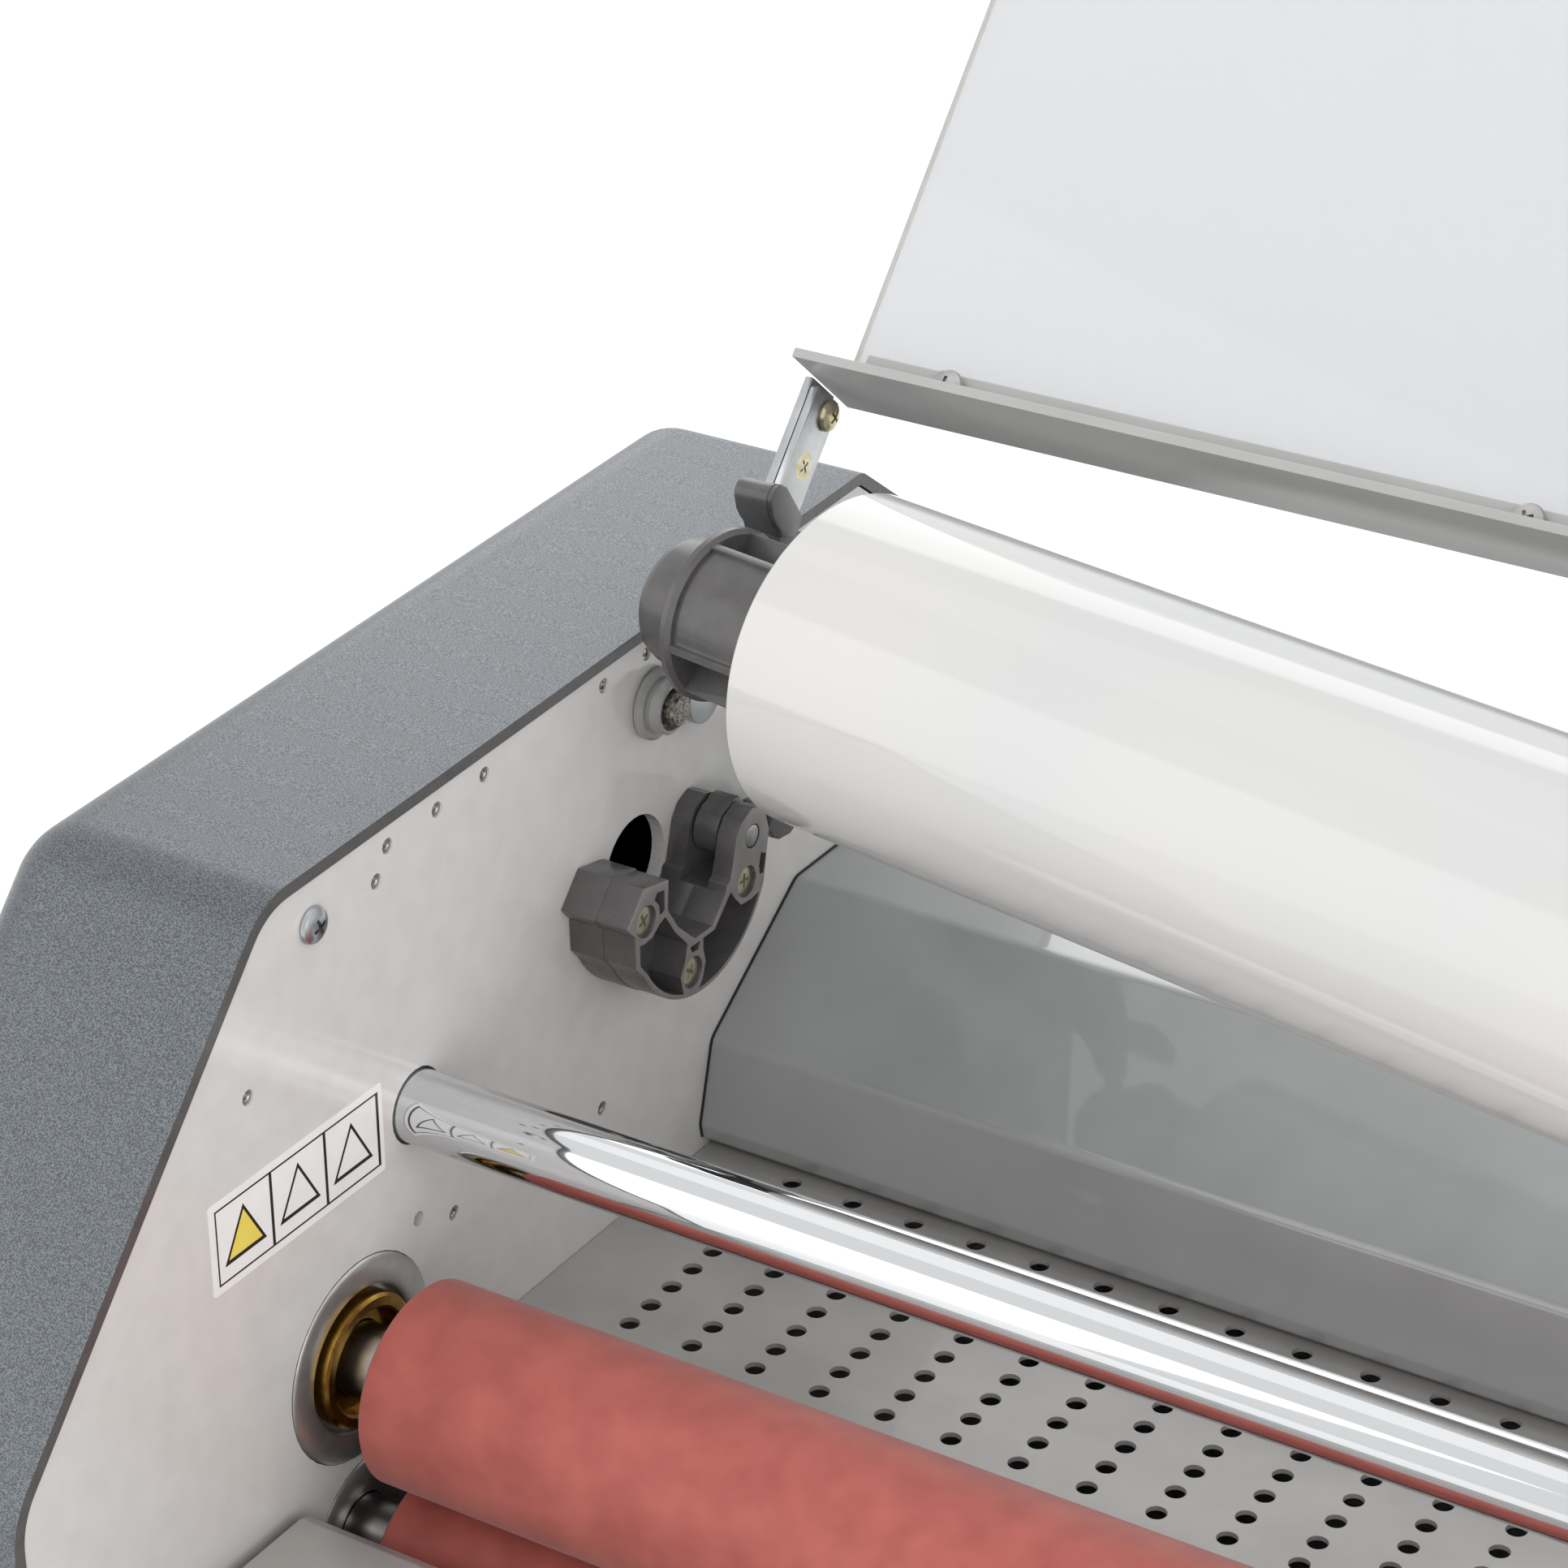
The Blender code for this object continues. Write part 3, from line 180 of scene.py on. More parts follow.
# %% Turned pieces
def turned(name, profile, centre, steps=64, closed=False, smooth=35):
    """Spun about X through centre. The profile is (along, radius) pairs in millimetres."""
    deselect()
    bpy.ops.mesh.primitive_circle_add(vertices=len(profile), fill_type="NOTHING")
    piece = bpy.context.object
    piece.name = name
    for vertex, (along, radius) in zip(piece.data.vertices, profile):
        vertex.co = Vector(centre) + Vector((along * MM, 0, radius * MM))
    bpy.ops.object.mode_set(mode="EDIT")
    if not closed:
        work = bmesh.from_edit_mesh(piece.data)
        work.verts.ensure_lookup_table()
        last = {len(profile) - 1, 0}
        loose = [e for e in work.edges if {v.index for v in e.verts} == last]
        bmesh.ops.delete(work, geom=loose, context="EDGES_FACES")
        bmesh.update_edit_mesh(piece.data)
    bpy.ops.mesh.select_all(action="SELECT")
    bpy.ops.mesh.spin(steps=steps, angle=2 * math.pi, center=centre, axis=(1, 0, 0))
    bpy.ops.object.mode_set(mode="OBJECT")
    return close_up(piece, smooth)


def cut(piece, *tools):
    """Cuts tools out of a piece and throws them away."""
    for tool in tools:
        modify(piece, "BOOLEAN", operation="DIFFERENCE", object=tool, solver="EXACT")
        bpy.data.objects.remove(tool, do_unlink=True)
    return piece


def fuse(piece, *others):
    for other in others:
        modify(piece, "BOOLEAN", operation="UNION", object=other, solver="EXACT")
        bpy.data.objects.remove(other, do_unlink=True)
    return piece


def copy_of(piece, name, matrix):
    """A copy with its own mesh, moved by a matrix."""
    twin = bpy.data.objects.new(name, piece.data.copy())
    bpy.context.scene.collection.objects.link(twin)
    twin.data.transform(matrix)
    if matrix.determinant() < 0:
        twin.data.flip_normals()
    return twin


# %% [markdown]
# Every finish is a small tree of nodes. One helper adds a node with its settings and its links, and one
# turns a screen colour into the linear numbers that the shader wants.

# %% Material tools
def linear(code):
    parts = [int(code[i:i + 2], 16) / 255 for i in (1, 3, 5)]
    parts = [c / 12.92 if c <= 0.04045 else ((c + 0.055) / 1.055) ** 2.4 for c in parts]
    return (*parts, 1.0)


def node(tree, kind, settings=None, links=None):
    """Adds a node. Settings are its own properties or its sockets' values, links are socket: output."""
    made = tree.nodes.new(kind)
    for key, value in (settings or {}).items():
        if isinstance(key, str) and hasattr(made, key):
            setattr(made, key, value)
        else:
            made.inputs[key].default_value = value
    for key, output in (links or {}).items():
        tree.links.new(made.inputs[key], output)
    return made


def finish(name, colour, roughness, metallic=0.0, **sockets):
    """A new material, its tree, its shader and its object coordinates."""
    material = bpy.data.materials.new(name)
    material.use_nodes = True
    tree = material.node_tree
    shader = tree.nodes["Principled BSDF"]
    shader.inputs["Base Color"].default_value = linear(colour)
    shader.inputs["Roughness"].default_value = roughness
    shader.inputs["Metallic"].default_value = metallic
    for key, value in sockets.items():
        shader.inputs[key.replace("_", " ")].default_value = value
    place = node(tree, "ShaderNodeTexCoord")
    return material, tree, shader, place.outputs["Object"]


def speckle(tree, shader, coords, size_mm, dark, light, low=0.35, high=0.65, detail=2.0):
    """Varies the colour between two screen colours in grains of a given size."""
    noise = node(tree, "ShaderNodeTexNoise", {"Scale": 1 / (size_mm * MM), "Detail": detail}, {"Vector": coords})
    ramp = node(tree, "ShaderNodeValToRGB", None, {"Fac": noise.outputs["Fac"]})
    ramp.color_ramp.elements[0].position = low
    ramp.color_ramp.elements[0].color = linear(dark)
    ramp.color_ramp.elements[1].position = high
    ramp.color_ramp.elements[1].color = linear(light)
    tree.links.new(shader.inputs["Base Color"], ramp.outputs["Color"])
    return noise.outputs["Fac"]


def ripple(tree, shader, coords, size_mm, height_mm, stretch=(1, 1, 1), detail=2.0):
    """A bump of a given grain size and height, in millimetres."""
    mapped = node(tree, "ShaderNodeMapping", {"Scale": stretch}, {"Vector": coords})
    noise = node(tree, "ShaderNodeTexNoise", {"Scale": 1 / (size_mm * MM), "Detail": detail},
                 {"Vector": mapped.outputs["Vector"]})
    bump = node(tree, "ShaderNodeBump", {"Strength": 1.0, "Distance": height_mm * MM},
                {"Height": noise.outputs["Fac"]})
    tree.links.new(shader.inputs["Normal"], bump.outputs["Normal"])
    return noise.outputs["Fac"]


def vary_gloss(tree, shader, source, low, high):
    spread = node(tree, "ShaderNodeMapRange", {"To Min": low, "To Max": high}, {"Value": source})
    tree.links.new(shader.inputs["Roughness"], spread.outputs["Result"])


# %% [markdown]
# The side covers are sprayed with a dark metallic paint whose flakes show as a fine, light grain, over
# a faintly pebbled coat. The grain is drawn at 0.4 mm, a little coarser than real flakes.

# %% Metallic grained paint
COVER, tree, shader, coords = finish("metallic_grain_paint_sprayed", "#5b5f64", 0.40, 0.3)
speckle(tree, shader, coords, 0.42, "#474b50", "#6f7479", 0.36, 0.66, 0.0)
grain = ripple(tree, shader, coords, 0.5, 0.02)
vary_gloss(tree, shader, grain, 0.30, 0.42)

# %% [markdown]
# The side plates are powder coated a warm light grey. Powder flows out almost flat, with the slight
# orange peel of a few millimetres that makes reflections wander.

# %% Powder coat
POWDER, tree, shader, coords = finish("powder_coat_warm_grey_sprayed", "#d6d5d3", 0.14, Coat_Weight=0.35,
                                      Coat_Roughness=0.05)
speckle(tree, shader, coords, 9, "#d3d2d0", "#d9d8d6", 0.3, 0.7)
ripple(tree, shader, coords, 7.0, 0.012)

GREY, tree, shader, coords = finish("enamel_mid_grey_sprayed", "#a5a8a9", 0.26, Coat_Weight=1.0,
                                    Coat_Roughness=0.04)
speckle(tree, shader, coords, 25, "#a2a5a6", "#a8abac", 0.3, 0.7)
ripple(tree, shader, coords, 9.0, 0.006)

LIGHT_GREY, tree, shader, coords = finish("enamel_light_grey_sprayed", "#a9a8a6", 0.30, Coat_Weight=0.15)
speckle(tree, shader, coords, 20, "#a3a2a0", "#aeada9", 0.3, 0.7)
ripple(tree, shader, coords, 4.0, 0.01)

# %% [markdown]
# Brackets and chucks are moulded in ABS: a dark warm grey with a low sheen. The moulded skin has a fine
# texture, and handling leaves slightly glossier clouds.

# %% Moulded plastics
ABS, tree, shader, coords = finish("abs_warm_grey_moulded", "#565453", 0.28)
speckle(tree, shader, coords, 6, "#515050", "#5b5958", 0.3, 0.7)
clouds = ripple(tree, shader, coords, 0.9, 0.006)
vary_gloss(tree, shader, clouds, 0.24, 0.34)

# A lighter copy of the ABS for the hooks' rib tops: a painted highlight for the light that falls on those faces.
ABS_PAINTED_HIGHLIGHT, tree, shader, coords = finish("abs_warm_grey_painted_highlight", "#7a7876", 0.26)
speckle(tree, shader, coords, 6, "#757371", "#807e7b", 0.3, 0.7)
ripple(tree, shader, coords, 0.9, 0.004)

PALE_ABS, tree, shader, coords = finish("abs_light_grey_moulded", "#9a9a99", 0.32)
speckle(tree, shader, coords, 6, "#949493", "#9f9f9e", 0.3, 0.7)
ripple(tree, shader, coords, 0.9, 0.006)

BLACK, tree, shader, coords = finish("abs_black_moulded", "#1d1d1f", 0.42)
speckle(tree, shader, coords, 5, "#1a1a1c", "#222225", 0.3, 0.7)
ripple(tree, shader, coords, 0.8, 0.012)

RED, tree, shader, coords = finish("abs_red_moulded", "#b3161a", 0.28)
speckle(tree, shader, coords, 8, "#a81418", "#ba191d", 0.3, 0.7)

RUBBER, tree, shader, coords = finish("rubber_black_moulded", "#202021", 0.75)
speckle(tree, shader, coords, 3, "#1b1b1c", "#29292a", 0.3, 0.7)
ripple(tree, shader, coords, 1.2, 0.03)

# %% [markdown]
# Silicone rubber is cast on the steel core and ground to size. It is matt, brick red, and its ground
# skin shows faint rings round the roller, so the pattern is squeezed along the roller.

# %% Silicone, film and board
SILICONE, tree, shader, coords = finish("silicone_red_ground", "#a8534a", 0.62, Sheen_Weight=0.15)
speckle(tree, shader, coords, 12, "#9f4c43", "#b05a50", 0.3, 0.7)
ripple(tree, shader, coords, 2.0, 0.02, (6, 1, 1))

FILM, tree, shader, coords = finish("polyester_film_wound", "#cccbc9", 0.14, Coat_Weight=0.5,
                                    Coat_Roughness=0.05)
speckle(tree, shader, coords, 160, "#c8c9ca", "#d0ceca", 0.3, 0.7)
waves = ripple(tree, shader, coords, 60, 0.35, (1.0, 0.5, 0.5), 1.0)
vary_gloss(tree, shader, waves, 0.07, 0.16)

BOARD, tree, shader, coords = finish("paper_board_wound", "#9b8264", 0.85)
speckle(tree, shader, coords, 1.5, "#8d7557", "#a68c6d", 0.3, 0.7)
ripple(tree, shader, coords, 1.0, 0.05)

# %% [markdown]
# Bare metals keep their mirror core and differ in how they were finished: chrome is polished, the roller
# ends are turned and so show fine rings about their axis, and the shield's arms are drawn, with
# lines along their length.

# %% Metals
CHROME, tree, shader, coords = finish("chrome_plate_polished", "#d6d8da", 0.045, 1.0)
ripple(tree, shader, coords, 30, 0.004)

STEEL, tree, shader, coords = finish("steel_turned", "#a9a8a6", 0.27, 1.0)
speckle(tree, shader, coords, 7, "#9d9c9a", "#b5b4b2", 0.3, 0.7)
ripple(tree, shader, coords, 0.7, 0.02, (4, 1, 1))

ALUMINIUM, tree, shader, coords = finish("aluminium_drawn_satin", "#b9bbbd", 0.30, 1.0)
speckle(tree, shader, coords, 8, "#b0b2b4", "#c4c6c8", 0.3, 0.7)
ripple(tree, shader, coords, 0.8, 0.012, (3, 0.4, 0.4))

BRASS, tree, shader, coords = finish("brass_turned", "#b08a3c", 0.24, 1.0)
speckle(tree, shader, coords, 3, "#9c7731", "#bd984a", 0.3, 0.7)
ripple(tree, shader, coords, 0.8, 0.02, (4, 1, 1))

GOLD_ZINC, tree, shader, coords = finish("steel_yellow_zinc_plated", "#d0c9a4", 0.24, 0.85)
speckle(tree, shader, coords, 2.6, "#bdbb8a", "#dccdb8", 0.35, 0.65)
ripple(tree, shader, coords, 0.6, 0.02)

ZINC, tree, shader, coords = finish("steel_clear_zinc_plated", "#b4b8bc", 0.30, 1.0)
speckle(tree, shader, coords, 9, "#afb3b7", "#b9bdc0", 0.3, 0.7)
ripple(tree, shader, coords, 2.0, 0.01)

FACED, tree, shader, coords = finish("steel_faced_bright", "#d6d5d3", 0.30, 0.85)
speckle(tree, shader, coords, 5, "#cfcecc", "#dddcda", 0.3, 0.7)
ripple(tree, shader, coords, 1.0, 0.03, (1, 0.3, 3))

CAST, tree, shader, coords = finish("magnet_core_sintered", "#7b766f", 0.42, 0.8)
speckle(tree, shader, coords, 0.8, "#4a4540", "#a8a29a", 0.35, 0.65, 4.0)
ripple(tree, shader, coords, 0.9, 0.25)

# %% [markdown]
# The shield is a sheet of clear acrylic. It is all but invisible face on and has a faint yellow edge,
# which comes from the long way that light travels inside it. Thin glass in the shader gives the same.

# %% Clear acrylic
CLEAR, tree, shader, coords = finish("acrylic_clear_cast", "#c2c4c8", 0.05, Transmission_Weight=0.25,
                                     IOR=1.49, Alpha=0.52)
ripple(tree, shader, coords, 90, 0.15)
EDGE, tree, shader, coords = finish("acrylic_sawn_edge", "#cfc8a4", 0.35, Transmission_Weight=0.3, IOR=1.49)
speckle(tree, shader, coords, 4, "#c2ba92", "#d8d2b4", 0.3, 0.7)

PAPER, tree, shader, coords = finish("vinyl_label_printed", "#f2f2ef", 0.35)
speckle(tree, shader, coords, 12, "#efefec", "#f5f5f3", 0.3, 0.7)
INK, tree, shader, coords = finish("ink_black_printed", "#1a1a1a", 0.4)
speckle(tree, shader, coords, 12, "#161616", "#1f1f1f", 0.3, 0.7)
YELLOW, tree, shader, coords = finish("ink_yellow_printed", "#f0dc62", 0.4)
speckle(tree, shader, coords, 12, "#edd85c", "#f2df6a", 0.3, 0.7)
print("finishes:", len(bpy.data.materials))

# %% [markdown]
# Each kept solid gets the finish that its real piece has. Pieces that need a finer shape are replaced
# further on, and named there.

# %% Finishes for the solids
KEPT = {
    COVER: ["front_panel"],
    POWDER: ["side_plate_left", "side_plate_right"],
    GREY: ["shield_beam"],
    LIGHT_GREY: ["perforated_plate", "feed_table"],
    ZINC: ["base_pan", "rear_panel", "motor"],
    STEEL: ["bearing_ring_upper_left", "bearing_ring_upper_right", "bearing_ring_lower_left",
            "bearing_ring_lower_right", "upper_roller_core", "lower_roller_core", "motor_pinion",
            "drive_gear_upper", "drive_gear_lower", "pull_gear_upper", "pull_gear_lower",
            "pressure_lever", "supply_mandrel"],
    BRASS: ["bush_upper_left", "bush_upper_right"],
    SILICONE: ["upper_roller_sleeve", "lower_roller_sleeve"],
    RUBBER: ["pull_roller_upper", "pull_roller_lower", "drive_belt", "foot_front_left",
             "foot_front_right", "foot_rear_left", "foot_rear_right"],
    CHROME: ["idler_bar"],
    BOARD: ["film_core"],
    FILM: ["film_roll"],
    ABS: ["supply_pivot_bracket", "supply_chuck_left", "supply_chuck_right", "swing_lock_lever",
          "supply_bracket_right", "supply_latch_right", "lower_bracket_left", "lower_bracket_right",
          "lower_latch_left", "lower_latch_right", "magnet_stub_left", "magnet_stub_right"],
    ALUMINIUM: ["shield_arm_left", "shield_arm_right", "shield_clamp_strip"],
    CLEAR: ["shield_panel"],
    BLACK: ["control_pad", "speed_knob", "power_switch", "power_inlet"],
    RED: ["emergency_stop"],
}
KEPT[GREY].append("plenum_cover")
KEPT[COVER] += ["side_cover_left", "side_cover_right"]
for material, names in KEPT.items():
    for name in names:
        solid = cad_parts[name]
        solid.data.materials.clear()
        solid.data.materials.append(material)
print("solids with a finish:", sum(len(names) for names in KEPT.values()))


# %% [markdown]
# A finished piece gets its material, rides on the body that carries it, and hides the solids that it
# stands for.

# %% Hand-over
def deliver(piece, material, body, slot, *replaced):
    piece.data.materials.clear()
    piece.data.materials.append(material)
    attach(piece, body)
    if replaced:
        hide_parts(*replaced)
    return piece


# %% Second finishes
def dress(piece, material, chosen):
    """Gives a second material to the faces that pass a test."""
    piece.data.materials.append(material)
    for face in piece.data.polygons:
        if chosen(face):
            face.material_index = len(piece.data.materials) - 1


# %% [markdown]
# The side covers are moulded trays with a generous edge radius. A bevel as wide as the corners' own radius
# would fold over itself, so the outline is drawn again at each level of the curve, smaller each time, and
# the loops are bridged, outside and inside.

# %% Side covers
CORNERS = [(-183, 165.1, 18), (-286, 51, 20), (-286, -35, 20), (-236, -186, 12),
           (186, -186, 12), (231, -40, 20), (231, 66, 20), (88, 173.9, 2)]
COVER_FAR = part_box("side_cover_right")[1].x


def grow(corners, distance):
    """Moves every side of an outline outwards, and its roundings with it."""
    grown = []
    for i, (y, z, radius) in enumerate(corners):
        before = Vector((y, z)) - Vector(corners[i - 1][:2])
        after = Vector(corners[(i + 1) % len(corners)][:2]) - Vector((y, z))
        n0 = Vector((before.y, -before.x)).normalized()
        n1 = Vector((after.y, -after.x)).normalized()
        shift = (n0 + n1) * (distance / (1 + n0.dot(n1)))
        grown.append((y + shift.x, z + shift.y, max(radius + distance, 0.6)))
    return grown


def cover_level(x, inward):
    return [(x, *at(y, z)) for y, z in rounded(grow(CORNERS, 4 - inward), 10)]


def side_cover(hand, side):
    """Bridges loops from the rim, round the edge radius, to the outer face, outside and inside."""
    deselect()
    levels = []
    for inset in (0.0, 3.5):
        radius = 20 - inset
        level = [(PLATE - 0.6 * MM, inset)]
        for k in range(13):
            turn = math.radians(7.5 * k)
            level.append((COVER_FAR - (20 - radius * math.sin(turn)) * MM,
                          inset + radius * (1 - math.cos(turn))))
        levels.append([cover_level(side * x, inward) for x, inward in level])
    mesh = bpy.data.meshes.new("side_cover_" + hand)
    piece = bpy.data.objects.new("cover_shell_" + hand, mesh)
    bpy.context.scene.collection.objects.link(piece)
    points, faces = [], []
    for loops in levels:
        count = len(loops[0])
        for j, loop in enumerate(loops):
            start = len(points)
            points += loop
            if j:
                for i in range(count):
                    k = (i + 1) % count
                    faces.append((start + i, start + k, start - count + k, start - count + i))
        faces.append(list(range(len(points) - count, len(points))))
    inner = len(levels[0]) * count
    faces += [(i, (i + 1) % count, inner + (i + 1) % count, inner + i) for i in range(count)]
    mesh.from_pydata(points, [], faces)
    return close_up(piece, 25)


LEVER_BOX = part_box("pressure_lever")
LEVER_SLOT, LEVER_BAR, GRIP_PROUD = 14, 8, 3
for hand, side in (("left", -1), ("right", 1)):
    piece = side_cover(hand, side)
    if hand == "right":
        cut(piece, slab("lever_slot", [(-104, 160), (-38, 160), (-38, 190), (-104, 190)],
                        LEVER_BOX[1].x - LEVER_SLOT * MM, LEVER_BOX[1].x))
        close_up(piece, 25)
    deliver(piece, COVER, "machine", "dark_grey_metallic_paint", "side_cover_" + hand)
    dress(piece, ABS, lambda face: side * face.center.x < PLATE)
print("covers made, faces:", len(piece.data.polygons))

# %% [markdown]
# The vent plate is punched with round holes 20 mm apart along it and 10.24 mm apart across it. One cell is
# drawn, a circle bridged to a square rim, then repeated by two arrays and given its thickness.

# %% Vent plate
PITCH_X, PITCH_Y, HOLE_R = 20.0, 10.24, 2.85
COLUMNS, ROWS = 34, 10


def vent_cell(x, y, z):
    deselect()
    bpy.ops.mesh.primitive_circle_add(vertices=16, radius=HOLE_R * MM, location=(x, y, z), fill_type="NOTHING")
    cell = bpy.context.object
    bpy.ops.object.transform_apply(location=True)
    bpy.ops.object.mode_set(mode="EDIT")
    bpy.ops.mesh.select_all(action="SELECT")
    bpy.ops.mesh.extrude_region_move()
    work = bmesh.from_edit_mesh(cell.data)
    for vertex in [v for v in work.verts if v.select]:
        away = vertex.co - Vector((x, y, z))
        scale = min(PITCH_X / 2 / max(abs(away.x), 1e-9), PITCH_Y / 2 / max(abs(away.y), 1e-9)) * MM
        away *= scale
        if abs(away.x) > 0.49 * PITCH_X * MM and abs(away.y) > 0.35 * PITCH_Y * MM:
            away.y = math.copysign(PITCH_Y / 2 * MM, away.y)
        vertex.co = Vector((x, y, z)) + away
    bmesh.update_edit_mesh(cell.data)
    bpy.ops.object.mode_set(mode="OBJECT")
    return cell


def vent_plate():
    first = (-PLATE + 31.8 * MM, at(0, 0)[0] - (ROWS - 1) * PITCH_Y * MM, VENT_TOP)
    cell = vent_cell(*first)
    modify(cell, "ARRAY", count=COLUMNS, use_relative_offset=False, use_constant_offset=True,
           constant_offset_displace=(PITCH_X * MM, 0, 0), use_merge_vertices=True, merge_threshold=1e-5)
    modify(cell, "ARRAY", count=ROWS, use_relative_offset=False, use_constant_offset=True,
           constant_offset_displace=(0, PITCH_Y * MM, 0), use_merge_vertices=True, merge_threshold=1e-5)
    return cell


plate_low, plate_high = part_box("perforated_plate")
vent = vent_plate()
print("holes punched:", COLUMNS * ROWS)


def push_edge(piece, axis, value, shift):
    """Extrudes the open edges that lie at one value of an axis, by a shift in millimetres."""
    pick(piece)
    bpy.ops.object.mode_set(mode="EDIT")
    bpy.ops.mesh.select_all(action="DESELECT")
    work = bmesh.from_edit_mesh(piece.data)
    for edge in work.edges:
        if edge.is_boundary and all(abs(v.co[axis] - value) < 1e-5 for v in edge.verts):
            edge.select_set(True)
    bmesh.update_edit_mesh(piece.data)
    move = Vector(shift) * MM
    bpy.ops.mesh.extrude_edges_move(TRANSFORM_OT_translate={"value": tuple(move)})
    bpy.ops.object.mode_set(mode="OBJECT")


def reach(piece, axis, high):
    values = [v.co[axis] for v in piece.data.vertices]
    return max(values) if high else min(values)


for axis, high, target in ((0, False, plate_low.x), (0, True, plate_high.x),
                           (1, False, plate_low.y + 0.1 * MM), (1, True, plate_high.y - 0.1 * MM)):
    edge_at = reach(vent, axis, high)
    shift = [0, 0, 0]
    shift[axis] = (target - edge_at) / MM
    push_edge(vent, axis, edge_at, shift)
push_edge(vent, 1, reach(vent, 1, False), (0, 0, -11.5))
push_edge(vent, 1, reach(vent, 1, True), (0, 0, -6.5))
close_up(vent)
if vent.data.polygons[0].normal.z < 0:
    vent.data.flip_normals()
modify(vent, "SOLIDIFY", thickness=1.4 * MM, offset=-1)
vent.name = "vent_plate"
bpy.context.view_layer.objects.active = vent
bpy.ops.object.shade_smooth_by_angle(angle=math.radians(35))
deliver(vent, LIGHT_GREY, "machine", "light_grey_paint", "perforated_plate")
print("vent plate faces:", len(vent.data.polygons))

# %% [markdown]
# Folded sheet metal has a small radius at each bend. The fold line is drawn once down the middle of the
# sheet, its corners are rounded, and it is offset to both sides for the sheet's two skins.

# %% Folded sheets
def fold(path, steps=6):
    """An open path whose inner corners are arcs. Each corner is (y, z, radius)."""
    points = [path[0][:2]]
    for before, (y, z, radius), after in zip(path, path[1:], path[2:]):
        here = Vector((y, z))
        back, ahead = (Vector(before[:2]) - here).normalized(), (Vector(after[:2]) - here).normalized()
        half = back.angle(ahead) / 2
        centre = here + (back + ahead).normalized() * (radius / math.sin(half))
        start = here + back * (radius / math.tan(half)) - centre
        sweep = start.angle_signed(here + ahead * (radius / math.tan(half)) - centre)
        for k in range(steps + 1):
            t = -sweep * k / steps
            points.append((centre.x + start.x * math.cos(t) - start.y * math.sin(t),
                           centre.y + start.x * math.sin(t) + start.y * math.cos(t)))
    return points + [path[-1][:2]]


def folded_sheet(name, path, thickness, x0, x1, edge=0.25):
    points = [Vector(p) for p in fold(path)]
    one, other = [], []
    for i, here in enumerate(points):
        into = (here - points[i - 1]).normalized() if i else (points[1] - here).normalized()
        out = (points[i + 1] - here).normalized() if i < len(points) - 1 else into
        n0, n1 = Vector((-into.y, into.x)), Vector((-out.y, out.x))
        shift = (n0 + n1) * (thickness / 2 / (1 + n0.dot(n1)))
        one.append(tuple(here + shift))
        other.append(tuple(here - shift))
    piece = slab(name, one + other[::-1], x0, x1, edge)
    return close_up(piece, 40)


HEAT_PATH = [(6.8, 1.2, 0), (2.6, 4.2, 2.5), (1.8, 8.5, 2.5), (8.4, 33.2, 5), (53.2, 64.0, 5), (130.6, 64.0, 2),
             (131, 31, 0)]
inside = PLATE - 0.6 * MM
plenum = folded_sheet("heat_cover", HEAT_PATH, 1.5, -inside, inside)
deliver(plenum, GREY, "machine", "mid_grey_paint", "plenum_cover")
for hand, side in (("left", -1), ("right", 1)):
    ends = sorted((side * (PLATE - 0.1 * MM), side * (inside - 0.15 * MM)))
    seal = folded_sheet("heat_cover_seal_" + hand, HEAT_PATH[1:], 2.1, *ends, 0.1)
    deliver(seal, RUBBER, "machine", "black_rubber")
table = folded_sheet("infeed_table", [(-329, -23.6, 0), (-329, -12.5, 5), (-323.5, -7.0, 5), (-191, -7.0, 2),
                                      (-187.6, -8.6, 0)], 1.8, -PLATE + 4.2 * MM, PLATE - 4.2 * MM)
deliver(table, LIGHT_GREY, "machine", "light_grey_paint", "feed_table")
front = folded_sheet("front_apron", [(-262, -13.4, 0), (-278.5, -20.3, 2.5), (-279.8, -36, 2.5), (-233.2, -176.4, 1.5),
                                     (-229.4, -176.9, 0)], 1.4, -inside, inside)
deliver(front, COVER, "machine", "dark_grey_metallic_paint", "front_panel")
print("folded sheets made")

# %% [markdown]
# The heated rollers are steel cores with a cast silicone sleeve. Their ends are chamfered so that the
# rubber doesn't tear. The chrome bar leads the film down to them.

# %% Rollers
UPPER, LOWER = (-157.5, 21.9), (-157.5, -33.1)
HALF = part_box("upper_roller_sleeve")[1].x / MM
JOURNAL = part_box("upper_roller_core")[1].x / MM


def sleeve(name, centre, body, solid):
    profile = [(-HALF, 22.4), (-HALF, 26.2), (-HALF + 1.1, 27.35), (HALF - 1.1, 27.35), (HALF, 26.2), (HALF, 22.4)]
    piece = turned(name, profile, (0, *at(*centre)), 96, closed=True)
    deliver(piece, SILICONE, body, "red_silicone", solid)


def core(name, centre, body, body_r, body_half, journal_r, left, right, material, slot, solid):
    profile = [(left, 0), (left, journal_r - 0.8), (left + 0.8, journal_r), (-body_half, journal_r),
               (-body_half, body_r), (body_half, body_r), (body_half, journal_r), (right - 0.8, journal_r),
               (right, journal_r - 0.8), (right, 0)]
    piece = turned(name, profile, (0, *at(*centre)), 72)
    deliver(piece, material, body, slot, solid)


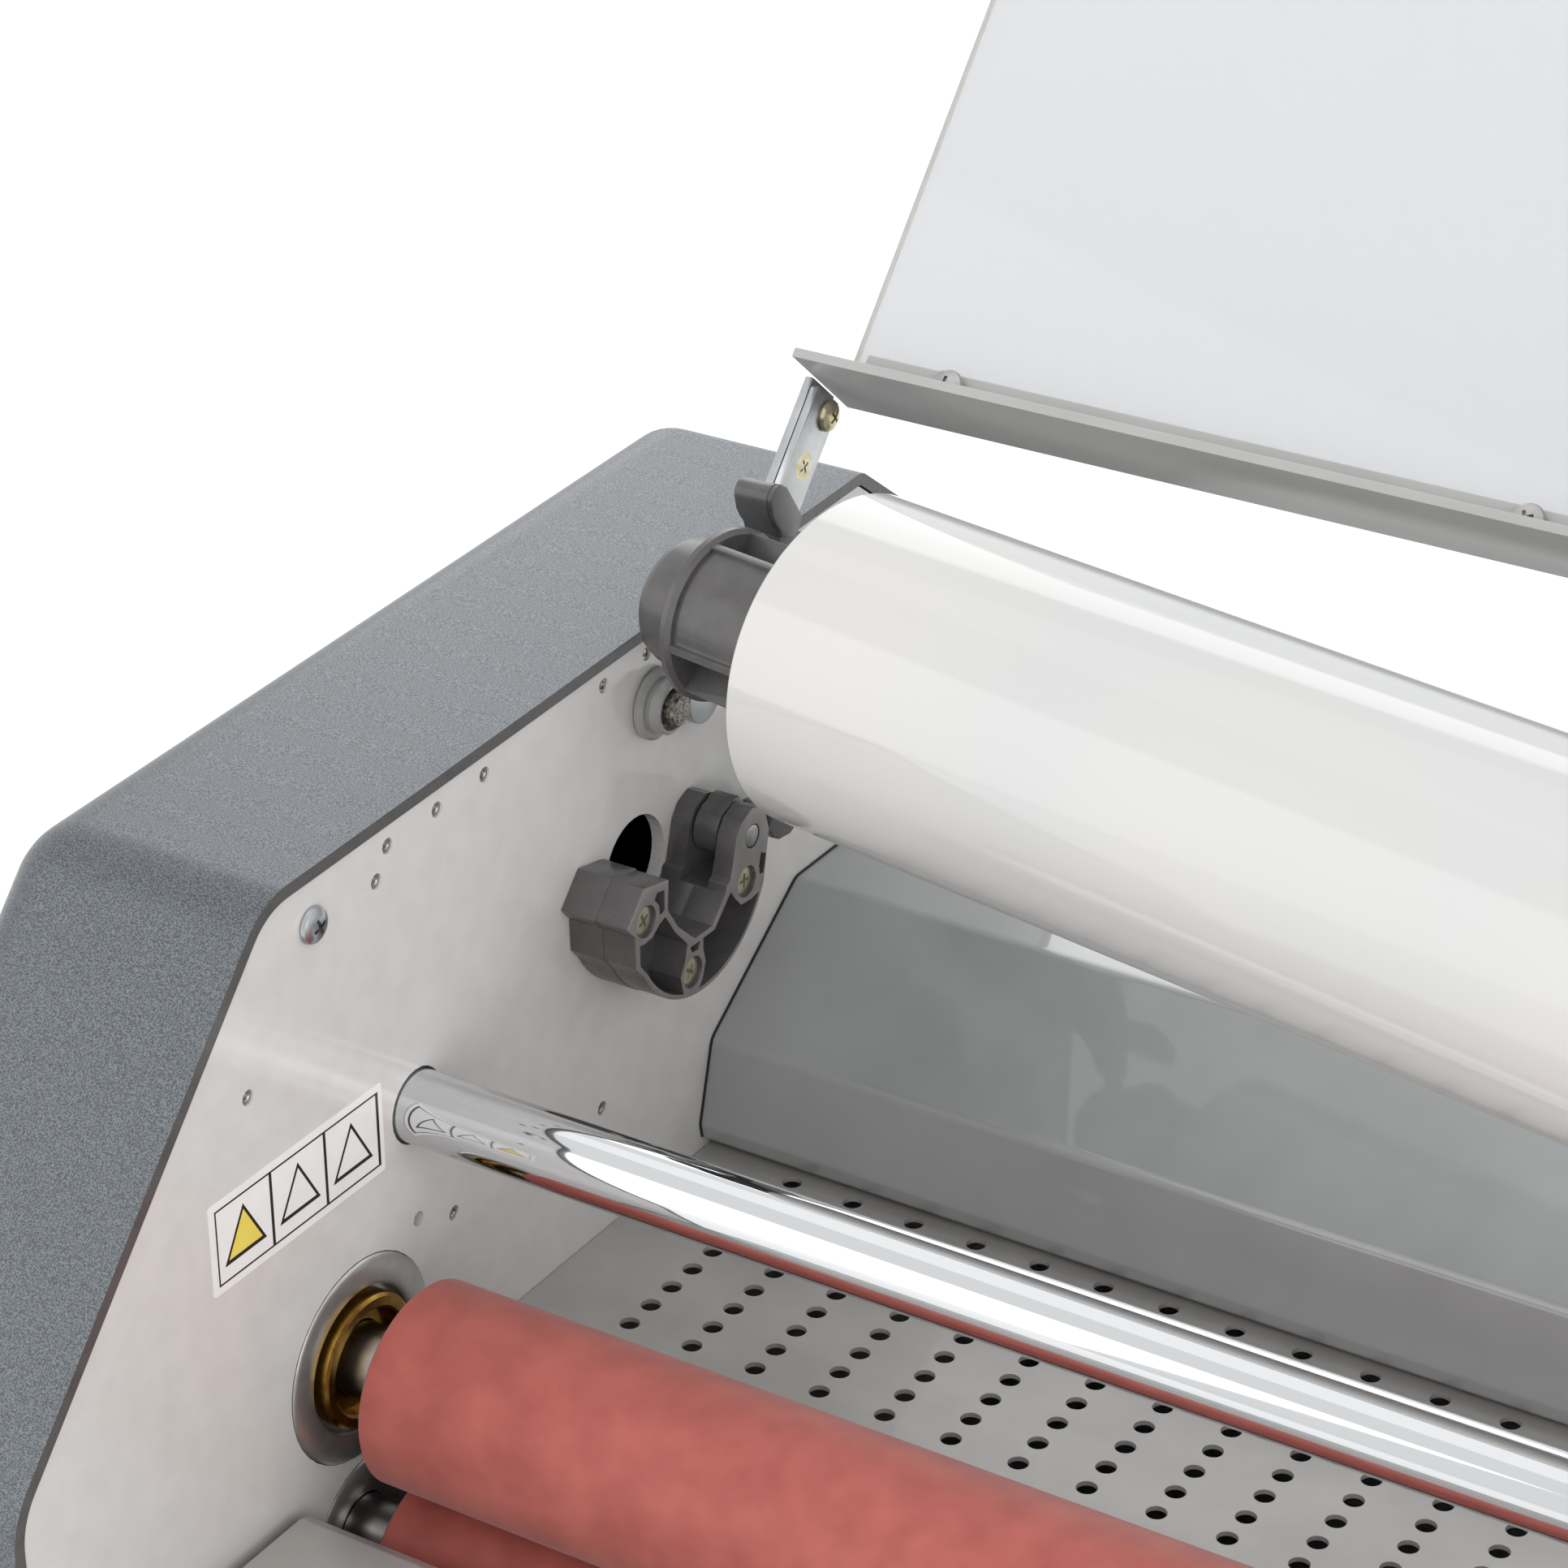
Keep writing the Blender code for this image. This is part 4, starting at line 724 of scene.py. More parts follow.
sleeve("silicone_sleeve_upper", UPPER, "upper_roller", "upper_roller_sleeve")
sleeve("silicone_sleeve_lower", LOWER, "lower_roller", "lower_roller_sleeve")
core("roller_core_upper", UPPER, "upper_roller", 22, HALF, 10, -368, JOURNAL, STEEL, "turned_steel",
     "upper_roller_core")
core("roller_core_lower", LOWER, "lower_roller", 22, HALF, 10, -368,
     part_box("lower_roller_core")[1].x / MM, STEEL, "turned_steel", "lower_roller_core")
for level, z in (("upper", 16.4), ("lower", -27.6)):
    body = "pull_roller_top" if level == "upper" else "pull_roller_bottom"
    core("pull_core_" + level, (160, z), body, 21.85, 347.5, 8, -368,
         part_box("pull_roller_" + level)[1].x / MM, RUBBER, "black_rubber", "pull_roller_" + level)
bar = turned("chrome_bar", [(-367, 0), (-367, 9.1), (-366.2, 9.9), (366.2, 9.9), (367, 9.1), (367, 0)],
             (0, *at(-128.5, 82.9)), 96)
deliver(bar, CHROME, "idler", "chrome_plate", "idler_bar")
print("rollers made")

# %% [markdown]
# Each end of the upper roller runs in a brass bush held by a turned steel ring. The ring stands a hair
# proud of the plate and is faced bright, and the bush's rolled brass rim stands in its dark recess.

# %% Bearing rings and bushes
def bearing(hand, side, level, centre, outer, inner, body):
    profile = [(362.6, inner), (362.6, outer - 8.5), (359.6, outer - 8.3), (359.2, outer - 7.6),
               (359.2, outer - 0.9), (359.8, outer), (364.0, outer), (364.0, inner)]
    profile = [(side * along, radius) for along, radius in profile]
    piece = turned("bearing_%s_%s" % (level, hand), profile, (0, *at(*centre)), 72, closed=True)
    deliver(piece, FACED, body, "turned_steel", "bearing_ring_%s_%s" % (level, hand))


for hand, side in (("left", -1), ("right", 1)):
    bearing(hand, side, "upper", UPPER, 28.6, 15.7, "machine")
    bearing(hand, side, "lower", LOWER, 24.0, 10.4, "lower_nip_carriage")
    profile = [(361.0, 10.4), (361.0, 14.0), (357.4, 14.5), (356.8, 15.2), (356.8, 17.6), (357.5, 18.5),
               (361.8, 18.5), (361.8, 15.3), (364.0, 15.3), (364.0, 10.4)]
    bush = turned("brass_bush_" + hand, [(side * a, r) for a, r in profile], (0, *at(*UPPER)), 64, closed=True)
    deliver(bush, BRASS, "machine", "brass", "bush_upper_" + hand)
print("bearings made")

# %% [markdown]
# The supply mandrel swivels on a pin at its left end, and stands swung out towards the operator. Every
# piece on it is made straight, along X from the pin, and then turned about the pin into its place.

# %% The mandrel and its film
SWIVEL = Vector((-PLATE + 16 * MM, *at(-17.9, 183.4)))
OUT = Matrix.Translation(SWIVEL) @ Matrix.Rotation(math.radians(-9.5), 4, "Z") @ Matrix.Translation(-SWIVEL)


def swung(piece):
    piece.data.transform(OUT)
    return piece


roll = turned("film_winding", [(49, 28.3), (49, 43.5), (49.7, 44.15), (614.8, 44.15), (615.5, 43.5), (615.5, 28.3)],
              SWIVEL, 160, closed=True)
deliver(swung(roll), FILM, "film_supply", "laminating_film", "film_roll")
tube = turned("board_core", [(49.1, 24.6), (49.1, 27.6), (49.5, 28.0), (615.0, 28.0), (615.4, 27.6), (615.4, 24.6)],
              SWIVEL, 96, closed=True)
deliver(swung(tube), BOARD, "film_supply", "grey_cardboard", "film_core")
shaft = turned("mandrel_shaft", [(5, 0), (5, 11), (692.5, 11), (694, 9.5), (694, 0)], SWIVEL, 64)
deliver(swung(shaft), STEEL, "mandrel", "turned_steel")


def around_swivel(points):
    return [(-17.9 + y, 183.4 + z) for y, z in points]


def swivel_boss():
    """A thick disc with soft edges, slotted for the bracket's eye and bored for its pin."""
    profile = [(-8.5, 0), (-8.5, 13.0), (-7.9, 15.0), (-6.3, 16.6), (-4.0, 17.4), (5.4, 17.4), (6, 16.8), (6, 0)]
    boss = turned("mandrel_boss", profile, SWIVEL, 96)
    x = SWIVEL.x
    slot = slab("slot_tool", around_swivel([(0, -4), (30, -4), (30, 4), (0, 4)]), x - 20 * MM, x + 4 * MM)
    deselect()
    bpy.ops.mesh.primitive_cylinder_add(vertices=40, radius=4.3 * MM, depth=26 * MM, location=SWIVEL)
    pin_hole = bpy.context.object
    bpy.ops.mesh.primitive_cylinder_add(vertices=48, radius=7 * MM, depth=8 * MM, location=SWIVEL)
    eye = bpy.context.object
    return close_up(cut(boss, slot, pin_hole, eye))


deliver(swung(swivel_boss()), ABS, "mandrel", "dark_warm_grey_abs", "supply_mandrel")
print("film roll length:", round(615.5 - 49, 1), "mm")

# %% [markdown]
# The chucks grip the board core. Each is moulded with an end flange and three pairs of vanes, deep
# pockets inside each pair and a curved wall between the pairs. Small fillets soften every edge.

# %% Core chucks
def fillet(piece, width, segments=2, angle=35):
    return modify(piece, "BEVEL", width=width * MM, segments=segments, limit_method="ANGLE",
                  angle_limit=math.radians(angle), harden_normals=False)


def vane_outline():
    half, points = 1.1, []
    for k in range(6):
        along = 63 + 120 * (k // 2) + 40 * (k % 2)
        a, b = (12.8, 21.2) if k % 2 == 0 else (21.2, 12.8)
        before, floor, gap = b, a, (40 if k % 2 == 0 else 80)
        t = math.radians(along)
        for radius, offset in ((before, -half), (22.8, -half), (22.8, half), (floor, half)):
            points.append((radius * math.cos(t) - offset * math.sin(t), radius * math.sin(t) + offset * math.cos(t)))
        steps = 4 if gap == 40 else 10
        lead = math.degrees(math.asin(half / floor))
        for j in range(1, steps):
            t = math.radians(along + lead + (gap - 2 * lead) * j / steps)
            points.append((floor * math.cos(t), floor * math.sin(t)))
    return around_swivel(points)


def chuck(name, flange, vane_end, solid):
    x = SWIVEL.x
    lo, hi = flange
    start = hi - 0.4 if vane_end > hi else lo + 0.4
    profile = [(lo, 11.4), (lo, 22.4), (lo + 1.2, 23.6), (hi - 1.2, 23.6), (hi, 22.4), (hi, 11.4)]
    piece = turned(name, profile, SWIVEL, 96, closed=True)
    vanes = slab(name + "_vanes", vane_outline(), x + start * MM, x + vane_end * MM)
    fillet(vanes, 0.25)
    bore = slab("bore", around_swivel(ring((0, 0), 11.4, 48)), x + (min(start, vane_end) - 5) * MM,
                x + (max(start, vane_end) + 5) * MM)
    fuse(piece, vanes)
    cut(piece, bore)
    close_up(piece)
    deliver(swung(piece), ABS, "film_supply", "dark_warm_grey_abs", solid)
    return piece


far = 615.5 + 49
left_chuck = chuck("core_chuck_left", (6.3, 10.3), 85, "supply_chuck_left")
right_chuck = chuck("core_chuck_right", (far - 10.3, far - 6.3), far - 85, "supply_chuck_right")
print("chuck faces:", len(left_chuck.data.polygons), len(right_chuck.data.polygons))

# %% [markdown]
# Screws repeat all over the machine. A pan head is turned once, its cross recess is cut with two
# crossed bars, and it is copied to each place with a matrix that stands it on its surface.

# %% Screws
def cross_tool(size, depth, top):
    bars = []
    for k in range(2):
        deselect()
        bpy.ops.mesh.primitive_cube_add(size=1)
        bar = bpy.context.object
        bar.data.transform(Matrix.Diagonal((depth * MM, size * MM, 0.22 * size * MM, 1)))
        bar.data.transform(Matrix.Rotation(math.radians(90 * k), 4, "X"))
        bar.data.transform(Matrix.Translation(((top - depth / 2) * MM, 0, 0)))
        bars.append(bar)
    return bars


def screw(name, profile, cross, depth, top):
    piece = turned(name, profile, (0, 0, 0), 40)
    return close_up(cut(piece, *cross_tool(cross, depth, top + 0.02)), 30)


PAN = screw("pan_master", [(-1.5, 0), (-1.5, 2.4), (0, 2.4), (0, 4.6), (0.6, 5.0), (1.6, 4.6), (2.5, 3.2),
                           (2.9, 1.4), (3.0, 0)], 4.6, 1.8, 3.0)
FLUSH = screw("flush_master", [(-2.0, 0), (-2.0, 2.0), (0.15, 4.4), (0.35, 4.3), (0.6, 2.0), (0.65, 0)],
              4.4, 1.6, 0.7)


def fix_screw(master, name, body, material, slot, centre, normal, scale=1.0, turn=0.0):
    """Stands a copy of a screw on a surface. Its master points along +X."""
    face = Vector(normal).to_track_quat("X", "Z").to_matrix().to_4x4()
    matrix = (Matrix.Translation(centre) @ face @ Matrix.Rotation(math.radians(turn), 4, "X")
              @ Matrix.Diagonal((scale, scale, scale, 1)))
    return deliver(copy_of(master, name, matrix), material, body, slot)


WASHER = turned("washer_master", [(0, 0), (0, 3.9), (0.2, 4.2), (0.6, 4.2), (0.8, 3.9), (0.8, 0)], (0, 0, 0), 40)
CLAMP_PLACES = (43, 212, 360, 508, 677)


for hand, side in (("left", -1), ("right", 1)):
    fix_screw(PAN, "plate_screw_" + hand, "machine", ZINC, "zinc_plated_steel",
              (side * (PLATE - 0.02 * MM), *at(-166.3, 154.1)), (-side, 0, 0), 1.0, 20)
print("screw faces:", len(PAN.data.polygons), len(FLUSH.data.polygons))

# %% [markdown]
# The lower film brackets are moulded hooks. Their inner face is cored out into pockets with thin ribs,
# so that the walls cool evenly, and the mould's two halves meet in a fine step half way.

# %% Lower film brackets
HOOK_AT = (-26.6, 106.4)
HOOK = ([(-43.2, 114.9), (-54.5, 117.3), (-62.8, 108.7), (-59.2, 104.7), (-59.0, 95.0)]
        + arc(HOOK_AT, 32.8, 208, 335, 26)
        + [(6.2, 107.5), (4.4, 113.6), (1.0, 116.8), (-1.9, 117.6), (-6.9, 115.7), (-9.8, 112.0), (-11.5, 105.6),
           (-13.2, 100.3), (-14.8, 99.7), (-15.6, 97.4), (-22.4, 90.8), (-30.6, 90.9), (-33.4, 93.2),
           (-39.4, 98.9), (-43.8, 106.0)])
POCKETS = [
    [(-48.9, 113.6), (-45.5, 112.8), (-45.6, 106.8), (-47.8, 106.2), (-48.2, 109.5), (-50.2, 112.0)],
    [(-57.5, 101.6), (-57.5, 95.4)] + arc(HOOK_AT, 31.4, 210, 250, 10)
    + [(-38.7, 82.5), (-36.4, 86.6), (-35.0, 91.4), (-40.8, 97.7), (-45.3, 104.6), (-48.3, 103.6), (-51.5, 101.4),
       (-55.5, 101.1)],
    [(-33.6, 89.6), (-33.0, 87.6), (-29.9, 87.2), (-28.9, 89.5)],
    arc(HOOK_AT, 31.4, 264, 330, 16)
    + [(-3.5, 90.2), (-8.5, 90.8), (-11.6, 94.3), (-13.4, 97.0), (-14.4, 96.3), (-21.8, 89.4), (-27.4, 89.5),
       (-27.4, 86.2), (-26.4, 81.9), (-28.0, 77.4)],
    arc(HOOK_AT, 31.4, 340, 350, 3) + [(1.8, 102.3), (0.7, 98.5), (1.1, 95.8)],
]
BOSSES = [(-54.3, 107.4), (-32.7, 81.5), (-5.5, 96.6)]


def lower_hook(hand, side):
    inner, outer = side * (PLATE - 21.5 * MM), side * (PLATE - 0.3 * MM)
    x0, x1 = min(inner, outer), max(inner, outer)
    deep = side * (PLATE - 11 * MM)
    piece = fillet(slab("film_hook_" + hand, HOOK, x0, x1), 0.35, 2, 50)
    stepped = [point[:2] for point in grow([(y, z, 0) for y, z in HOOK], 0.25)]
    fuse(piece, fillet(slab("root", stepped, min(outer, deep), max(outer, deep)), 0.2, 2, 50))
    tools = [slab("pocket", p, min(deep, inner - side * 1 * MM), max(deep, inner - side * 1 * MM)) for p in POCKETS]
    seat = side * (PLATE - 20.4 * MM)
    tools += [slab("seat", ring(c, 4.6, 32), min(seat, inner - side * 1 * MM), max(seat, inner - side * 1 * MM))
              for c in BOSSES]
    slot = [side * (PLATE - w * MM) for w in (6.2, 15.2)]
    tools.append(slab("latch_slot", [(-18, 97.5), (12, 97.5), (12, 125), (-18, 125)], min(slot), max(slot)))
    hole = side * (PLATE - 22.5 * MM)
    tools.append(slab("pin_hole", ring((-2.3, 109.2), 3.5, 32), min(side * (PLATE - 3 * MM), hole),
                      max(side * (PLATE - 3 * MM), hole)))
    cut(piece, *tools)
    close_up(piece, 30)
    deliver(piece, ABS, "machine", "dark_warm_grey_abs", "lower_bracket_" + hand)
    # The rib tops and fillets on the hook's inner face get the lighter ABS, a painted highlight.
    dress(piece, ABS_PAINTED_HIGHLIGHT, lambda face: side * face.center.x < PLATE - 21.0 * MM)
    return piece


for hand, side in (("left", -1), ("right", 1)):
    hook = lower_hook(hand, side)
    for k, centre in enumerate(BOSSES):
        fix_screw(FLUSH, "hook_screw_%s_%d" % (hand, k), "machine", GOLD_ZINC, "zinc_plated_steel",
                  (side * (PLATE - 20.0 * MM), *at(*centre)), (-side, 0, 0), 0.98, 25 + 30 * k)
print("hook faces:", len(hook.data.polygons))

# %% [markdown]
# A cam lies in the slot of each hook's back arm, with a thumb tab behind it, and turns on a steel pin
# whose polished end shows on the bracket's inner face.

# %% Cams
def latch_cam(hand, side):
    y, z = -2.3, 109.2
    faces = sorted(side * (PLATE - w * MM) for w in (6.9, 14.5))
    outline = ([(y + 4.5, z + 8.4), (y + 1.5, z + 8.6)] + arc((y, z), 7.5, 95, 250, 14)
               + [(y + 5, z - 6.3), (y + 17, z - 7.8), (y + 21.8, z - 3), (y + 15, z - 0.5), (y + 8, z + 4)])
    cam = fillet(slab("latch_cam_" + hand, outline, *faces), 0.4)
    faces = sorted(side * (PLATE - w * MM) for w in (4.7, 16.7))
    tab = [(y + 16, z - 7), (y + 18.4, z - 10.5), (y + 21.5, z - 12.4), (y + 27, z - 13.1), (y + 30.6, z - 11.4),
           (y + 31.9, z - 8.6), (y + 30.4, z - 4.2), (y + 20, z - 2.2)]
    fuse(cam, fillet(slab("tab", tab, *faces), 0.8, 3))
    deliver(close_up(cam), ABS, "latch_" + hand, "dark_warm_grey_abs", "lower_latch_" + hand)
    faces = sorted(side * (PLATE - w * MM) for w in (3.3, 21.4))
    pin = fillet(slab("latch_pin_" + hand, ring((y, z), 3.2, 40), *faces), 0.3)
    deliver(close_up(pin), STEEL, "latch_" + hand, "turned_steel")


for hand, side in (("left", -1), ("right", 1)):
    latch_cam(hand, side)
print("cams made")

# %% [markdown]
# The swing lock is a small moulded lever. Its thumb tab has a rounded nose and a hollowed neck, and a flat
# stem goes down to its pivot on the bracket behind the mandrel.

# %% Swing lock and swivel bracket
left = -PLATE
nose = arc((13.1, 203.3), 3.5, 62, 205, 8)
tab = [(25.4, 193.6), (17.7, 204.9)] + nose + [(10.6, 198.8), (12.2, 196.0), (14.0, 193.8), (14.8, 191.3),
                                             (21.9, 188.9)]
lock = fillet(slab("swing_lock", tab, left + 9 * MM, left + 21 * MM), 0.5, 2, 40)
lip = [point[:2] for point in grow([(y, z, 0) for y, z in tab], 0.25)]
fuse(lock, fillet(slab("lip", lip, left + 18.4 * MM, left + 19.6 * MM), 0.15, 2, 40))
stem = arc((22, 172), 8, 160, 380, 20) + [(22.5, 189), (15, 193)]
fuse(lock, fillet(slab("stem", stem, left + 15 * MM, left + 20 * MM), 0.4),
     slab("pin", ring((22, 172), 3, 32), left + 9.3 * MM, left + 15.5 * MM))
deliver(close_up(lock), ABS, "swing_lock", "dark_warm_grey_abs", "swing_lock_lever")

# %% [markdown]
# Each magnet stub is a stack of turned rings on the side plate: a plastic base, a bright ring, and the
# rough sintered magnet inside a dark gap. They hold the shield's arms when it stands forward.

# %% Magnet stubs
STUB = (-18.0, 151.0)


def stub(hand, side):
    centre = (side * PLATE, *at(*STUB))
    s = -side
    base = turned("stub_base_" + hand, [(s * 0.3, 0), (s * 0.3, 9.2), (s * 1.0, 10), (s * 2.4, 10), (s * 3.2, 9.0),
                                        (s * 3.2, 0)], centre, 64)
    deliver(base, PALE_ABS, "machine", "dark_warm_grey_abs", "magnet_stub_" + hand)
    collar = turned("stub_ring_" + hand, [(s * 3.1, 5.0), (s * 3.1, 7.6), (s * 4.6, 7.9), (s * 5.2, 7.5),
                                          (s * 6.9, 7.4), (s * 7.3, 7.0), (s * 7.3, 6.2), (s * 4.6, 5.9),
                                          (s * 4.6, 5.0)], centre, 64, closed=True)
    deliver(collar, PALE_ABS, "machine", "dark_warm_grey_abs")
    magnet = turned("stub_magnet_" + hand, [(s * 3.0, 0), (s * 3.0, 4.7), (s * 9.3, 4.7), (s * 9.9, 4.2),
                                            (s * 10, 0)], centre, 48)
    deliver(magnet, CAST, "machine", "turned_steel")


for hand, side in (("left", -1), ("right", 1)):
    stub(hand, side)
print("stubs made")

# %% [markdown]
# The shield leans back on two flat arms. Points on it are given along the arm and behind its front edge,
# and one function turns them into the machine's own directions.

# %% Shield
LEAN = math.radians(48.5)


def lean(s, q):
    return (-7 + s * math.cos(LEAN) + q * math.sin(LEAN), 145 + s * math.sin(LEAN) - q * math.cos(LEAN))


def shield_slab(name, points, w0, w1, side, edge=0.3):
    xs = sorted(side * (PLATE - w * MM) for w in (w0, w1))
    return close_up(fillet(slab(name, [lean(*p) for p in points], *xs), edge, 2, 50))


LONG = [(98.2, 0.5), (98.2, 15)] + arc((6, 7.3), 7.5, 90, 270, 16)
SHORT = [(96.4, 1.2), (96.4, 13.8), (95.4, 15), (58, 15), (56, 13), (56, 2), (58, 0.5), (95.4, 0.5)]
for hand, side in (("left", -1), ("right", 1)):
    arm = shield_slab("arm_strip_" + hand, LONG, 1.2, 3.75, side)
    deliver(arm, ALUMINIUM, "shield", "satin_aluminium", "shield_arm_" + hand)
    clip = shield_slab("arm_clip_" + hand, SHORT, 3.85, 6.3, side)
    deliver(clip, ALUMINIUM, "shield", "satin_aluminium")
    journal = slab("arm_journal_" + hand, ring(lean(6, 7.3), 4.7, 32),
                   *sorted(side * (PLATE - w * MM) for w in (1.4, -4)))
    deliver(close_up(fillet(journal, 0.4)), ALUMINIUM, "shield", "satin_aluminium")
    face = side * (PLATE - 6.28 * MM)
    fix_screw(PAN, "arm_pan_screw_" + hand, "shield", GOLD_ZINC, "zinc_plated_steel", (face, *at(*lean(91.3, 10.4))),
              (-side, 0, 0), 0.9, 35)
    fix_screw(FLUSH, "arm_flush_screw_" + hand, "shield", GOLD_ZINC, "zinc_plated_steel",
              (side * (PLATE - 6.0 * MM), *at(*lean(75.2, 8.2))), (-side, 0, 0), 0.95, 15)
GLOSS_GREY, tree, shader, coords = finish("enamel_mid_grey_satin", "#adaeac", 0.34, Coat_Weight=0.08,
                                          Coat_Roughness=0.15)
speckle(tree, shader, coords, 30, "#aaaba9", "#b0b1af", 0.3, 0.7)
ripple(tree, shader, coords, 6.0, 0.01)
beam = shield_slab("shield_rail", [(99.5, -10.5), (99.5, 27.8), (102.4, 27.8), (102.4, -10.5)], 1.2, 718.8, -1, 0.5)
deliver(beam, GLOSS_GREY, "shield", "mid_grey_paint", "shield_beam")
strip = shield_slab("clamp_strip", [(102.7, 2.3), (102.7, 5.0), (108.5, 5.0), (108.5, 2.3)], 16.2, 703.8, -1, 0.4)
deliver(strip, GLOSS_GREY, "shield", "mid_grey_paint", "shield_clamp_strip")
ahead = (0, -math.sin(LEAN), math.cos(LEAN))
for k, place in enumerate(CLAMP_PLACES):
    x = -PLATE + place * MM
    fix_screw(WASHER, "clamp_washer_%d" % k, "shield", ZINC, "zinc_plated_steel", (x, *at(*lean(104.4, 2.2))), ahead)
    fix_screw(PAN, "clamp_screw_%d" % k, "shield", STEEL, "zinc_plated_steel",
              (x, *at(*lean(104.4, 1.5))), ahead, 0.95, 30 * k)
sheet = shield_slab("clear_sheet", [(102.7, 5.3), (102.7, 8.3), (289.9, 8.3), (289.9, 5.3)], 10.9, 709.1, -1, 0.25)
deliver(sheet, CLEAR, "shield", "clear_acrylic", "shield_panel")
along_sheet = Vector((0, math.cos(LEAN), math.sin(LEAN)))
dress(sheet, EDGE, lambda face: max(abs(face.normal.x), abs(along_sheet.dot(face.normal))) > 0.9)
print("shield made")

# %% [markdown]
# The side plates carry blind rivets whose dark ends sit a little below the paint. Each one is turned, and
# they are joined so that each plate has one set.

# %% Rivets
RIVETS = [(-140.1, 153.6), (-134.9, 161.2), (-114.2, 162.0), (-93.7, 162.8), (-40.0, 165.2),
          (-19.5, 166.2), (-194.4, 119.6), (-46.5, 38.8), (-115.2, 42.8)]


def joined(pieces, name):
    pick(pieces[0])
    for piece in pieces:
        piece.select_set(True)
    bpy.ops.object.join()
    pieces[0].name = name
    return pieces[0]


for hand, side in (("left", -1), ("right", 1)):
    rivets = []
    for y, z in RIVETS:
        profile = [(0.5, 0), (0.9, 0.9), (0.6, 1.3), (0.6, 2.0), (1.6, 2.1), (1.6, 0)]
        rivets.append(turned("rivet", [(side * a, r) for a, r in profile], (side * PLATE, *at(y, z)), 24))
    deliver(joined(rivets, "plate_rivets_" + hand), STEEL, "machine", "turned_steel")
print("rivets on each plate:", len(RIVETS))

# %% [markdown]
# Moulded parts leave the tool with small radii on all their edges. The solids of the right-hand bracket,
# the pad and the knobs have the right shape already, so copies of them are merged and bevelled.

# %% Softened mouldings
def softened(solid, width, material, body, slot, segments=2):
    """A copy of a solid with its flat faces merged and its edges rounded."""
    piece = copy_of(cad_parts[solid], solid + "_moulded", Matrix())
    close_up(piece)
    modify(piece, "DECIMATE", decimate_type="DISSOLVE", angle_limit=math.radians(3))
    fillet(piece, width, segments, 40)
    return deliver(close_up(piece), material, body, slot, solid)


softened("supply_pivot_bracket", 0.5, ABS, "machine", "dark_warm_grey_abs")
softened("supply_bracket_right", 0.8, ABS, "machine", "dark_warm_grey_abs")
softened("supply_latch_right", 0.6, ABS, "supply_latch", "dark_warm_grey_abs")
softened("control_pad", 0.9, BLACK, "machine", "black_plastic", 3)
softened("speed_knob", 0.5, BLACK, "knob", "black_plastic", 3)
softened("emergency_stop", 0.7, RED, "stop_button", "red_plastic", 3)
softened("power_switch", 0.3, BLACK, "switch_rocker", "black_plastic")
print("mouldings softened")

# %% [markdown]
# The operator's pad has a dial of white dots round the speed knob, a yellow collar under the stop button,
# and three keys with small lamps. They are turned at the origin and stood on the slope.

# %% Controls
SLOPE = math.atan2(165.1 - 51, -183 + 286)
UP_SLOPE = Vector((0, math.cos(SLOPE), math.sin(SLOPE)))
OFF_SLOPE = Vector((0, -math.sin(SLOPE), math.cos(SLOPE)))
PAD_THICK = 9 * MM


def middle(name):
    low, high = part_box(name)
    return (low + high) / 2


pad_face = middle("control_pad") + OFF_SLOPE * (PAD_THICK / 2)


def on_pad(across_mm, along_mm):
    return pad_face + Vector((across_mm * MM, 0, 0)) + UP_SLOPE * (along_mm * MM)


def along_pad(name):
    return (middle(name) - pad_face).dot(UP_SLOPE) / MM


DOT = turned("dot_master", [(-0.1, 0), (-0.1, 0.9), (0.25, 0.8), (0.3, 0)], (0, 0, 0), 16)
KEY = turned("key_master", [(-0.1, 0), (-0.1, 5.0), (0.9, 5.0), (1.4, 4.5), (1.2, 3.6), (1.1, 0)], (0, 0, 0), 40)
COLLAR = turned("collar_master", [(-0.1, 6.4), (-0.1, 17.5), (0.9, 17.2), (1.4, 16.2), (1.4, 6.4)], (0, 0, 0), 56,
                closed=True)
knob_at, stop_at = along_pad("speed_knob"), along_pad("emergency_stop")
for k in range(11):
    turn = math.radians(-135 + 27 * k)
    fix_screw(DOT, "dial_dot_%d" % k, "machine", PAPER, "light_grey_paint",
              on_pad(16.2 * math.sin(turn), knob_at + 16.2 * math.cos(turn)), OFF_SLOPE, 0.75)
fix_screw(COLLAR, "stop_collar", "machine", YELLOW, "red_plastic", on_pad(0, stop_at), OFF_SLOPE)
for k, across in enumerate((-12.5, 0, 12.5)):
    fix_screw(KEY, "pad_key_%d" % k, "machine", GREY, "black_plastic", on_pad(across, 40), OFF_SLOPE, 0.95)
    fix_screw(DOT, "pad_lamp_%d" % k, "machine", (RED, PALE_ABS, PALE_ABS)[k], "red_plastic", on_pad(across, 50),
              OFF_SLOPE, 1.3)
knob_top = on_pad(0, knob_at) + OFF_SLOPE * (14.0 * MM)
fix_screw(DOT, "knob_mark", "knob", PAPER, "light_grey_paint", knob_top + UP_SLOPE * (7 * MM), OFF_SLOPE, 1.2)
print("controls fitted on a slope of", round(math.degrees(SLOPE), 1), "degrees")

# %% [markdown]
# The pressure lever is a flat steel bar with a moulded grip pressed over its end. Bar and grip are cut
# from two outlines about the lever's pivot.

# %% Pressure lever
PIVOT = (-50.0, 112.0)


def about_pivot(points):
    return [(PIVOT[0] + y, PIVOT[1] + z) for y, z in points]


